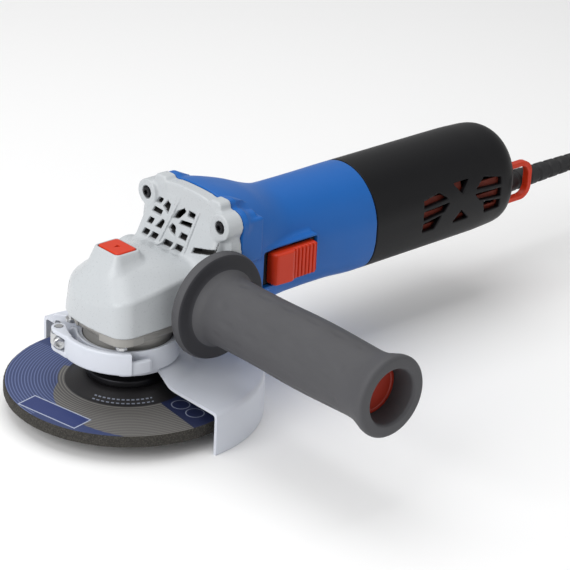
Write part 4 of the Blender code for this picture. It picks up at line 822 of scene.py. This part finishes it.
def painted_shade_recesses(x, y, z):
    """Painted shade: a dark casting colour behind the vents' edges and inside the gears' chamber."""
    vents = np.maximum(np.maximum(1.3 - (x - wall_x(z)) * 0.898, slab(z, 62.0, 86.0)), np.abs(y) - 28.6)
    return np.minimum(vents, block(x, y, z, (-23.0, -24.0, 20.0), (30.0, 24.0, 54.0)))


# the vents' insides and the gears' chamber take the dark casting as painted shade
moulded("gear_housing_casting", gear_housing, (-28.4, -35.6, 37.8), (43.3, 35.6, 96.4), 0.62, "machine",
        "painted_casting", [powder_casting, casting_painted_shade], ["gear_housing"], within=painted_shade_recesses)


def bearing_cover(x, y, z):
    """Bare plate under the gears: round-cornered pads at the screws, a lip, and the guard's neck."""
    flat = round_rect(x - y ** 2 / 180.0 * (x < 0), y, -26.8, 25.0, -25.6, 25.6, 7.0)
    flat = meet(flat, -0.728 * x + 0.686 * y - 29.6, 12.0)
    plate = extruded(flat, z, 32.5, 37.7, 0.8)
    notch_x = np.maximum(np.abs(y) - 9.5, 23.4 - np.abs(x))
    notch_y = np.maximum(np.abs(x) - 9.5, 24.0 - np.abs(y))
    plate = cut(plate, np.maximum(join(notch_x, notch_y), z - 36.0), 0.8)
    plate = join(plate, rod(x, y, 22.5, z, 12.6, 35.0, 0.5), 0.8)
    for radius, low, high in ((9.6, 5.0, 20.4), (16.1, 20.4, 30.8), (13.0, 25.0, 45.0)):
        plate = cut(plate, rod(x, y, radius, z, low, high))
    return cut(plate, rod(np.abs(x) - COVER_SCREW, np.abs(y) - COVER_SCREW, 2.2, z, 30.0, 40.0), 0.3)


moulded("bearing_cover_casting", bearing_cover, (-27.0, -25.8, 12.4), (25.2, 25.8, 37.9), 0.6, "machine",
        "bare_alloy", bare_alloy, ["bearing_cover"])


def make_screws():
    """Pan-head screws with a six-lobed recess: the recess's radius swings six times round."""
    count = 48
    angle = 2 * np.pi * np.arange(count) / count
    star = 1.35 + 0.28 * np.cos(6 * angle)
    rows = [(0, 34.4), (star * 0.92, 34.4), (star, 33.1), (1.9, 33.0), (2.6, 33.25), (3.0, 34.0), (3.0, 35.2),
            (2.0, 35.2), (2.0, 52.0), (0, 52.0)]
    faces = grid_faces(len(rows), count, False, True)
    for number, (side, up) in enumerate(((-1, 1), (1, 1), (-1, -1), (1, -1)), 1):
        rings = [np.column_stack([np.full(count, x), r * np.cos(angle) + side * SCREW_Y,
                                  r * np.sin(angle) + MOTOR_Z + up * SCREW_UP]) for r, x in rows]
        add_piece(f"housing_screw_star_{number}", np.concatenate(rings), faces, "machine", "black_oxide_steel",
                  black_oxide, [f"housing_screw_{number}"], sharp=35)


make_screws()


# --- motor housing, slider and rear cover ------------------------------------------------------------
STATIONS = np.array([
    # x, half width, top, bottom, centre, power above, power below
    (43.5, 34.0, 36.6, 35.9, 59.0, 2.9, 3.0), (50.0, 34.0, 36.3, 35.6, 59.0, 2.9, 3.0),
    (56.0, 33.6, 35.4, 35.0, 58.6, 2.8, 3.0), (62.0, 32.2, 34.8, 33.6, 57.8, 2.6, 2.9),
    (68.0, 30.6, 34.0, 32.2, 57.0, 2.5, 2.8), (75.0, 28.8, 32.0, 30.4, 56.0, 2.3, 2.8),
    (81.5, 27.6, 30.5, 28.8, 55.4, 2.1, 2.7), (88.0, 27.0, 29.4, 28.0, 55.0, 2.0, 2.7),
    (104.0, 26.9, 29.2, 27.8, 55.0, 2.0, 2.7), (120.0, 27.1, 29.2, 27.9, 55.0, 2.0, 2.7),
    (134.0, 27.9, 29.2, 29.1, 55.0, 2.0, 2.7), (145.2, 28.0, 29.2, 29.2, 55.0, 2.0, 2.7),
    (230.0, 28.0, 29.2, 29.2, 55.0, 2.0, 2.7), (248.0, 27.2, 28.4, 28.4, 55.0, 2.0, 2.7),
    (254.5, 25.4, 26.6, 26.6, 55.0, 2.0, 2.7), (258.0, 20.5, 21.7, 21.7, 55.0, 2.0, 2.7)])
FINE_STEP, SOFTNESS, REACH = 0.5, 3.0, 18           # mm, mm, and steps to each side of the bell's middle
FINE_X = np.arange(40.0, 262.0, FINE_STEP)


def smoothed_stations():
    """Stations joined by straight lines, then softened with a bell curve exp(-d^2 / 2 s^2)."""
    kernel = np.exp(-0.5 * (np.arange(-REACH, REACH + 1) * FINE_STEP / SOFTNESS) ** 2)
    kernel /= kernel.sum()
    lines = [np.interp(FINE_X, STATIONS[:, 0], column) for column in STATIONS[:, 1:].T]
    return [np.convolve(np.pad(line, REACH, mode="edge"), kernel, mode="valid") for line in lines]


SECTION = smoothed_stations()


def barrel(x, y, z, shrink=0.0):
    """Field of the handgrip's outer skin: superellipse sections that change along X."""
    half, top, bottom, centre, n_top, n_bottom = (np.interp(x, FINE_X, column) for column in SECTION)
    half, top, bottom = half - shrink, top - shrink, bottom - shrink
    v = z - centre
    power = np.where(v > 0, n_top, n_bottom)
    high = np.where(v > 0, top, bottom)
    grade = ((np.abs(y) / half) ** power + (np.abs(v) / high) ** power) ** (1 / power)
    return (grade - 1) * np.minimum(half, high) * 0.97


def motor_housing(x, y, z):
    """Blue shell: square shoulders with screw corners narrowing to a round grip, and the slider's seat."""
    body = barrel(x, y, z)
    reach = np.hypot(*screw_holes(y, z)) - 6.9 + np.maximum(x - 47.0, 0) * 0.62
    body = join(body, np.maximum(reach * 0.85, slab(x, 40.0, 62.0)), 3.0)
    facet = block(x, np.abs(y), z, (30.0, 10.0, 63.5), (58.0, 34.6, 86.5), 1.6)
    body = join(body, facet, 2.0)
    bump = round_rect(np.abs(y), z, 17.0, 25.0, 80.0, 95.2, 2.5) + np.maximum(x - 47.0, 0) * 0.5
    body = join(body, np.maximum(bump, x - 60.0), 2.0)
    body = meet(body, 43.5 - x, 0.6)
    body = meet(body, x - 145.2, 0.6)
    pad = extruded(round_rect(x, z, 59.4, 99.5, 43.5, 66.0, 2.0), y, -31.2, -20.0, 0.6)
    body = join(body, pad, 2.2)
    inner = np.maximum(barrel(x, y, z, 2.9), x - 142.2)
    body = cut(body, cut(inner, pad + 1.2))
    body = cut(body, extruded(round_rect(x, z, 61.0, 98.5, 45.0, 64.6, 1.0), y, -45.0, -28.4), 0.5)
    body = cut(body, extruded(round_rect(x, z, 66.5, 90.0, 57.6, 62.8, 0.4), y, -30.0, -15.0))
    body = cut(body, rod(y, z - MOTOR_Z, 12.9, x, 138.0, 148.0))
    for wy, wz in ((-18.5, 42.0), (-18.5, 60.5), (9.0, 42.0), (9.0, 60.5)):
        body = cut(body, block(x, y, z, (138, wy, wz), (148, wy + 9.5, wz + 7.5), 0.3))
    body = cut(body, block(x, y, z, (138, -23.5, 59.6), (148, -19.5, 65.4), 0.3))
    body = join(body, rod(*screw_holes(y, z), 4.6, x, 43.8, 55.0, 0.3), 0.8)
    return cut(body, rod(*screw_holes(y, z), 2.3, x, 40.0, 53.5))


def slider_well_painted_shade(x, y, z):
    """The sunk floor round the slider, and the shell's inside, drawn black as painted shade."""
    return np.minimum(block(x, y, z, (61.2, -29.4, 45.2), (98.3, -20.0, 64.4)), barrel(x, y, z, 2.0))


# the slider's well and the shell's inside take black as painted shade
moulded("motor_housing_shell", motor_housing, (43.4, -35.6, 18.5), (145.3, 35.6, 96.0), 0.78, "machine",
        "blue_housing", [blue_nylon, inner_nylon_and_painted_shade], ["motor_housing"], within=slider_well_painted_shade)

SIDE_VENTS = [[(181.0, 44.0), (181.0, 48.5), (194.0, 50.5), (190.0, 44.0)],
              [(181.0, 51.0), (181.0, 55.5), (200.0, 56.5), (196.5, 52.6)],
              [(181.0, 58.0), (181.0, 61.5), (192.5, 63.5), (198.5, 59.5)],
              [(204.5, 44.0), (216.0, 44.0), (210.2, 49.6)],
              [(204.5, 66.0), (216.0, 66.0), (210.2, 59.8)],
              [(241.5, 44.0), (241.5, 48.5), (228.0, 50.5), (229.5, 44.0)],
              [(241.5, 51.0), (241.5, 55.5), (221.0, 56.5), (224.5, 52.6)],
              [(241.5, 58.0), (241.5, 61.5), (228.0, 64.5), (221.5, 59.5)]]


def rear_cover(x, y, z):
    """Black cup with vents that cross on its sides, and the cable's exit."""
    body = meet(barrel(x, y, z), 145.5 - x, 0.6)
    body = meet(body, x - 258.0, 3.0)
    body = cut(body, np.maximum(barrel(x, y, z, 2.8), x - 254.0))
    vents = np.full(np.broadcast(x, z).shape, 1e3)
    for outline in SIDE_VENTS:
        vents = np.minimum(vents, outline_field(x, z, outline) - 0.2)
    body = cut(body, np.maximum(vents, 20.0 - np.abs(y)), 0.5)
    body = cut(body, rod(y, z - CORD_Z, 6.6, x, 240.0, 265.0), 0.4)
    for low, high in ((34.0, 37.3), (54.7, 58.0)):
        body = cut(body, block(x, y, z, (250.0, -12.4, low), (265.0, -7.3, high)), 0.2)
    return body


moulded("rear_cover_cup", rear_cover, (145.4, -28.2, 25.5), (258.1, 28.2, 84.5), 0.75, "machine", "black_cover",
        black_nylon, ["rear_cover"])


def slide_button(x, y, z):
    """Slider on the near flank: a raised smooth front, then ribs across, with the edges rounded."""
    u = x - 81.5
    height = np.interp(u, [-15.4, -13.6, -12.4, -3.6, -1.6, -0.9, 20],
                       [-33.0, -35.0, -35.3, -35.9, -35.0, -34.0, -34.0])
    saw = (u + 0.6) % 2.5
    groove = np.where(u > -0.9, 1.15 * (1 - np.clip(np.minimum(saw, 2.5 - saw) / 0.55, 0, 1)), 0.0)
    skin = (height + groove - y) * 0.8
    body = meet(skin, round_rect(u, z, -15.2, 15.2, 45.7, 62.9, 1.5), 1.2)
    body = meet(body, y + 28.8)
    stem = block(x, y, z, (74.0, -29.2, 59.2), (83.0, -22.2, 62.6), 0.3)
    return join(body, stem)


moulded("slide_button_cap", slide_button, (66.2, -36.1, 45.5), (96.8, -22.0, 63.6), 0.36, "switch",
        "orange_plastic", orange_nylon, ["slide_button"])


def hanging_eye(x, y, z):
    """Loop of orange strip behind the rear cover."""
    opening = round_rect(x, z, 230.0, 281.8, 37.1, 54.9, 6.0)
    flat = cut(round_rect(x, z, 230.0, 285.0, 34.3, 57.7, 8.0), opening, 0.4)
    return extruded(np.maximum(flat, 250.6 - x), y, -12.05, -7.65, 0.5)


moulded("hanging_eye_strip", hanging_eye, (250.4, -12.2, 34.1), (285.2, -7.5, 57.9), 0.42, "machine",
        "orange_plastic", orange_nylon, ["hanging_eye"])


def make_sleeve():
    """Ribbed bend relief: rings that grow thinner towards the cord, with slits between them."""
    corners = [(4.1, 247.0, 0), (8.2, 247.0, 0.4), (8.2, 249.5, 0.6), (6.3, 249.8, 0.3), (6.3, 262.0, 0.5)]
    for i in range(8):
        x, r = 264.4 + i * 9.0, 6.3 - 0.19 * i
        corners += [(r - 1.0, x, 0.3), (r - 1.0, x + 1.8, 0.3), (r - 0.05, x + 2.4, 0.5), (r - 0.12, x + 8.4, 0.5)]
    corners += [(4.9, 337.0, 0.5), (4.7, 341.8, 0.4), (4.1, 342.0, 0)]
    add_piece("cable_sleeve_ribbed", *turned(rounded(corners, 3), 40, (0, 0, CORD_Z), "x"), "machine",
              "black_rubber", rubber, ["cable_sleeve"], sharp=40)


make_sleeve()


# --- side handle -------------------------------------------------------------------------------------
HANDLE_PLACE = (HANDLE_X, -35.5, HANDLE_Z)


def make_handle():
    """Soft grip turned about Y, with shallow long dimples round it in staggered rows, and its orange core."""
    length = 126.0
    corners = [(28.0, 0.0, 0.8), (28.0, 3.4, 1.4), (27.0, 5.3, 1.5), (20.5, 6.0, 2.5), (17.9, 10.0, 4.0),
               (17.5, 40.0, 14.0), (18.3, 72.0, 14.0), (17.1, 108.0, 10.0), (17.6, 114.0, 3.0),
               (20.5, 122.5, 2.0), (20.5, 124.8, 1.2), (19.3, length, 0.8), (14.7, length, 0.7),
               (13.8, length - 1.2, 0.5), (13.5, length - 15.0, 0), (10.4, length - 15.0, 0), (10.4, 0.0, 0)]
    points, faces = turned(densed(rounded(corners, 6), 1.6), 160, (0, 0, 0), "y")
    radius, along = np.hypot(points[:, 0], points[:, 2]), -points[:, 1]
    angle = np.arctan2(points[:, 2], points[:, 0])
    inside = (radius > 16.5) & (along > 20.0) & (along < 106.0)
    place = angle / (2 * np.pi) * 14
    column, row = place % 1 - 0.5, ((along - 20.0) / 17.2 + 0.5 * (np.floor(place) % 2)) % 1 - 0.5
    spot = np.clip(1 - (column / 0.3) ** 2 - (row / 0.36) ** 2, 0, 1)
    points[:, [0, 2]] *= (1 - np.where(inside, 0.45 * spot, 0.0) / np.maximum(radius, 1))[:, None]
    middle = points[np.asarray(faces)].mean(1)
    out = np.hypot(middle[:, 0], middle[:, 2])
    # the flange's face takes the darker rubber
    flange = (np.abs(-middle[:, 1] - 5.8) < 1.0) & (out > 18.6) & (out < 27.4)
    add_piece("handle_grip_moulding", points + HANDLE_PLACE, faces, "machine", "grey_soft_grip",
              [soft_grip, flange_grip], ["handle_grip"], picks=flange.astype(int), sharp=50)
    core = rounded([(0, 34.0, 0), (4.3, 34.0, 0.2), (4.3, 0.2, 0), (10.1, 0.2, 0.4), (10.1, length - 14.7, 0),
                    (13.2, length - 14.7, 0.2), (13.2, length - 12.6, 0.5), (11.6, length - 12.6, 0.2),
                    (11.2, length - 13.0, 0.2), (3.2, length - 13.0, 0.4), (2.8, length - 12.8, 0.2),
                    (0, length - 12.8, 0)], 3)
    # the core's darker orange is painted shade on the floor of the grip's bore
    add_piece("handle_core_moulding", *turned(core, 64, HANDLE_PLACE, "y"), "machine",
              "orange_plastic", painted_shade_orange, ["handle_core"], sharp=35)


make_handle()


# --- guard, band and lever ---------------------------------------------------------------------------
PIN_ANGLE, PIN_RADIUS, BOLT_Z = math.radians(145.0), 34.5, 24.0
PIN_OUT = np.array([math.cos(PIN_ANGLE), math.sin(PIN_ANGLE), 0])
PIN_X, PIN_Y = PIN_RADIUS * PIN_OUT[:2]


def polar_xy(x, y):
    """Radius and angle about the spindle's axis, the angle in degrees from 0 to 360."""
    return np.hypot(x, y), np.degrees(np.arctan2(y, x)) % 360


def make_guard():
    """Pressed half-round hood with a raised hub and a neck ring, as one closed skin each."""
    top, under, skin = 9.0, 7.2, 68.2          # sheet 1.8 mm thick
    corners = [(24.4, 15.4, 0.4), (26.0, 14.6, 1.4), (34.0, top + 0.3, 3.0), (38.0, top, 2.0), (70.0, top, 2.8),
               (70.0, -14.0, 0.5), (skin, -14.0, 0.5), (skin, under, 1.8), (37.6, under, 2.0),
               (33.2, under + 0.4, 2.6), (25.2, 12.9, 1.4), (23.0, 14.0, 0.3)]
    outline = densed(rounded(corners, 6), 2.4)
    add_piece("guard_hood", *turned(outline, 60, (0, 0, 0), "z", -90.0, 180.0), "guard_clamp", "painted_sheet",
              powder_sheet_painted_light, ["guard"], sharp=35)
    neck = rounded([(22.9, 13.6, 0.3), (24.6, 13.6, 0.3), (24.6, 27.0, 0.5), (22.9, 27.0, 0.5)], 4)
    add_piece("guard_neck", *turned(neck, 96), "guard_clamp", "painted_sheet", powder_sheet_painted_light, sharp=35)


def bolt_frame(x, y, z):
    """Coordinates from the lever's pin: out along its radius, along the bolt, and up."""
    px, py, (c, s, _) = x - PIN_X, y - PIN_Y, PIN_OUT
    return px * c + py * s, px * s - py * c, z - BOLT_Z


def guard_band(x, y, z):
    """Strap round the neck, its ends turned out into two ears."""
    r, a = polar_xy(x, y)
    turn = np.where(a < 130, a + 360, a)
    arc = np.maximum(np.abs(turn - 310.5) - 171.0, 0) * 0.4
    strap = extruded(slab(r, 24.9, 26.2), z, 16.0, 28.0, 0.4)
    body = np.where(arc > 0, np.maximum(strap, arc), strap)
    for angle, reach, low, high in ((122.0, 40.0, 19.0, 29.8), (139.0, 29.4, 19.0, 28.0)):
        t = math.radians(angle)
        out, side = x * math.cos(t) + y * math.sin(t), -x * math.sin(t) + y * math.cos(t)
        ear = extruded(round_rect(out, z, 25.2, reach, low, high, 2.4), side, -1.1, 1.1, 0.3)
        body = join(body, ear, 1.2)
    out, _, up = bolt_frame(x, y, z)
    return cut(body, np.hypot(out, up) - 2.4)


def clamp_lever(x, y, z):
    """Curved lever: two leaves at the pin, a wide web that narrows, and a finger tab turned outwards."""
    r, a = polar_xy(x, y)
    inner, outer = 30.6 - 0.012 * (a - 163), 33.8 - 0.004 * (a - 163)
    arc_start, arc_end = (163 - a) * 0.55, (a - 235.0) * 0.55
    web = np.maximum(slab(r, inner, outer), np.maximum(arc_start, arc_end))
    web = meet(web, slab(z, 18.0, 30.0), 1.2)
    tab_in = np.interp(a, [226, 234, 242, 249, 253, 256], [29.8, 29.2, 28.4, 27.6, 27.4, 28.2])
    tab_out = np.interp(a, [226, 234, 242, 249, 253, 256], [32.6, 32.2, 31.4, 30.6, 30.2, 29.4])
    tab = np.maximum(slab(r, tab_in, tab_out), np.maximum((226 - a) * 0.5, (a - 255.0) * 0.5))
    tab = meet(tab, slab(z, 17.2, 24.8), 1.4)
    body = join(web, tab, 1.6)
    leaf_in = np.interp(a, [144.5, 150, 157, 166], [31.2, 30.6, 30.5, 30.5])
    leaf_out = np.interp(a, [144.5, 150, 157, 166], [37.6, 37.8, 35.6, 33.8])
    leaf = np.maximum(slab(r, leaf_in, leaf_out), np.maximum((144.5 - a) * 0.58, (a - 166.0) * 0.58))
    away = np.hypot(x - PIN_X, y - PIN_Y)
    leaf = join(leaf, away - 3.7, 1.0)
    leaf = meet(leaf, join(slab(z, 18.0, 20.4), slab(z, 27.6, 30.0)), 0.6)
    body = join(body, leaf, 0.8)
    return cut(body, away - 2.3)


# the guard, band and lever share the whiter sheet colour, made lighter still as painted light
make_guard()
moulded("guard_band_strap", guard_band, (-38, -26.4, 15.8), (26.4, 36.5, 30.0), 0.42, "guard_clamp",
        "painted_sheet", powder_sheet_painted_light, ["guard_band"])
moulded("clamp_lever_pressing", clamp_lever, (-36.5, -33.0, 17.8), (-5.0, 24.5, 30.2), 0.42, "lever",
        "painted_sheet", powder_sheet_painted_light, ["clamp_lever"])


def make_clamp_bolt():
    """Bolt through the ears with a socket head, lying along the tangent at the lever's pin."""
    count = 36
    angle = 2 * np.pi * np.arange(count) / count
    six = 1.6 / np.maximum(np.cos((angle + np.pi / 6) % (np.pi / 3) - np.pi / 6), 0.5)
    rows = [(0, -6.6), (six, -6.6), (six, -8.5), (2.6, -8.6), (3.1, -8.3), (3.3, -7.8), (3.3, -5.6), (1.9, -5.6),
            (1.9, 15.0), (0, 15.0)]
    up = np.array([0, 0, 1.0])
    along = np.cross(PIN_OUT, up)
    rings = [PIN_RADIUS * PIN_OUT + BOLT_Z * up + along * h + np.outer(r * np.cos(angle), PIN_OUT)
             + np.outer(r * np.sin(angle), up) for r, h in rows]
    add_piece("clamp_bolt_socket", np.concatenate(rings), grid_faces(len(rows), count, False, True), "guard_clamp",
              "zinc_steel", zinc, ["clamp_bolt"], sharp=35)


make_clamp_bolt()


# --- lock button -------------------------------------------------------------------------------------
def lock_button(x, y, z):
    """Orange button with a small three-cornered dimple in the middle of its top."""
    body = extruded(round_rect(x, y, BUTTON_X - 6.3, BUTTON_X + 6.3, -8.0, 8.0, 2.0), z, 71.8, 75.3, 0.9)
    mark = [(-1.7, 0.0), (1.1, 1.3), (1.1, -1.3)]
    dimple = np.maximum(outline_field(x - BUTTON_X, y, mark), 74.2 - z)
    body = cut(body, dimple, 0.2)
    return cut(body, np.maximum(np.hypot(x - LOCK_PIN_X, y) - 2.3, z - 73.0))


moulded("lock_button_cap", lock_button, (-14.2, -8.2, 71.6), (-1.3, 8.2, 75.4), 0.3, "spindle_lock",
        "orange_plastic", orange_nylon, ["lock_button"])


# --- finishes for the parts whose shape is already right ---------------------------------------------
def refinish(finish, *names):
    """Give the frame's own pieces a finish on their material slots."""
    for name in names:
        for place in bpy.data.objects[name].material_slots:
            place.material = finish


refinish(steel_up, "crown_gear", "spindle_bearing", "spindle_bush", "lock_pin", "lock_spring")
refinish(steel_along, "armature_shaft", "pinion", "front_bearing", "rear_bearing")
refinish(laminations, "armature_core", "stator_core")
refinish(copper_wire, "armature_windings", "field_coil_upper", "field_coil_lower")
refinish(copper_bars, "commutator")
refinish(inner_nylon_and_painted_shade, "fan", "fan_baffle", "cord_clamp", "switch_module", "switch_rod")
refinish(dusty_orange, "dust_screen")
refinish(brass, "brush_holder_left", "brush_holder_right")
refinish(carbon, "carbon_brush_left", "carbon_brush_right")
refinish(zinc, "brush_spring_left", "brush_spring_right", "handle_stud", "lever_pin", "cover_screw_1",
         "cover_screw_2", "cover_screw_3", "cover_screw_4")


# --- floor and light ---------------------------------------------------------------------------------
def make_stage():
    """Pale floor with even light from a bright room and large soft lamps above."""
    paper = blank("studio_paper", "#FAFAFA", 0.9)[0]
    mesh = bpy.data.meshes.new("studio_floor")
    half = 4.0          # metres
    corners = [(-half, -half, 0), (half, -half, 0), (half, half, 0), (-half, half, 0)]
    mesh.from_pydata(corners, [], [(0, 1, 2, 3)])
    mesh.materials.append(paper)
    floor = bpy.data.objects.new("studio_floor", mesh)
    bpy.context.scene.collection.objects.link(floor)
    room = bpy.data.worlds.new("room")
    room.use_nodes = True
    fill(room.node_tree.nodes["Background"], {"Color": (1.0, 1.0, 1.0, 1.0), "Strength": 0.46})
    bpy.context.scene.world = room
    middle = Vector(world((60.0, -20.0, 40.0)))          # what every lamp points at
    for name, place_mm, size, power in (("key", (-950, -120, 620), 0.9, 7.5), ("top", (60, 250, 1200), 1.2, 8.0),
                                        ("side", (500, -900, 500), 0.7, 0.8)):
        lamp = bpy.data.lights.new(name, "AREA")
        lamp.size = size
        lamp.energy = power
        holder = bpy.data.objects.new(name, lamp)
        bpy.context.scene.collection.objects.link(holder)
        holder.location = world(place_mm)
        holder.rotation_euler = (middle - holder.location).to_track_quat("-Z", "Y").to_euler()


make_stage()
bpy.context.scene.view_settings.view_transform = "Standard"
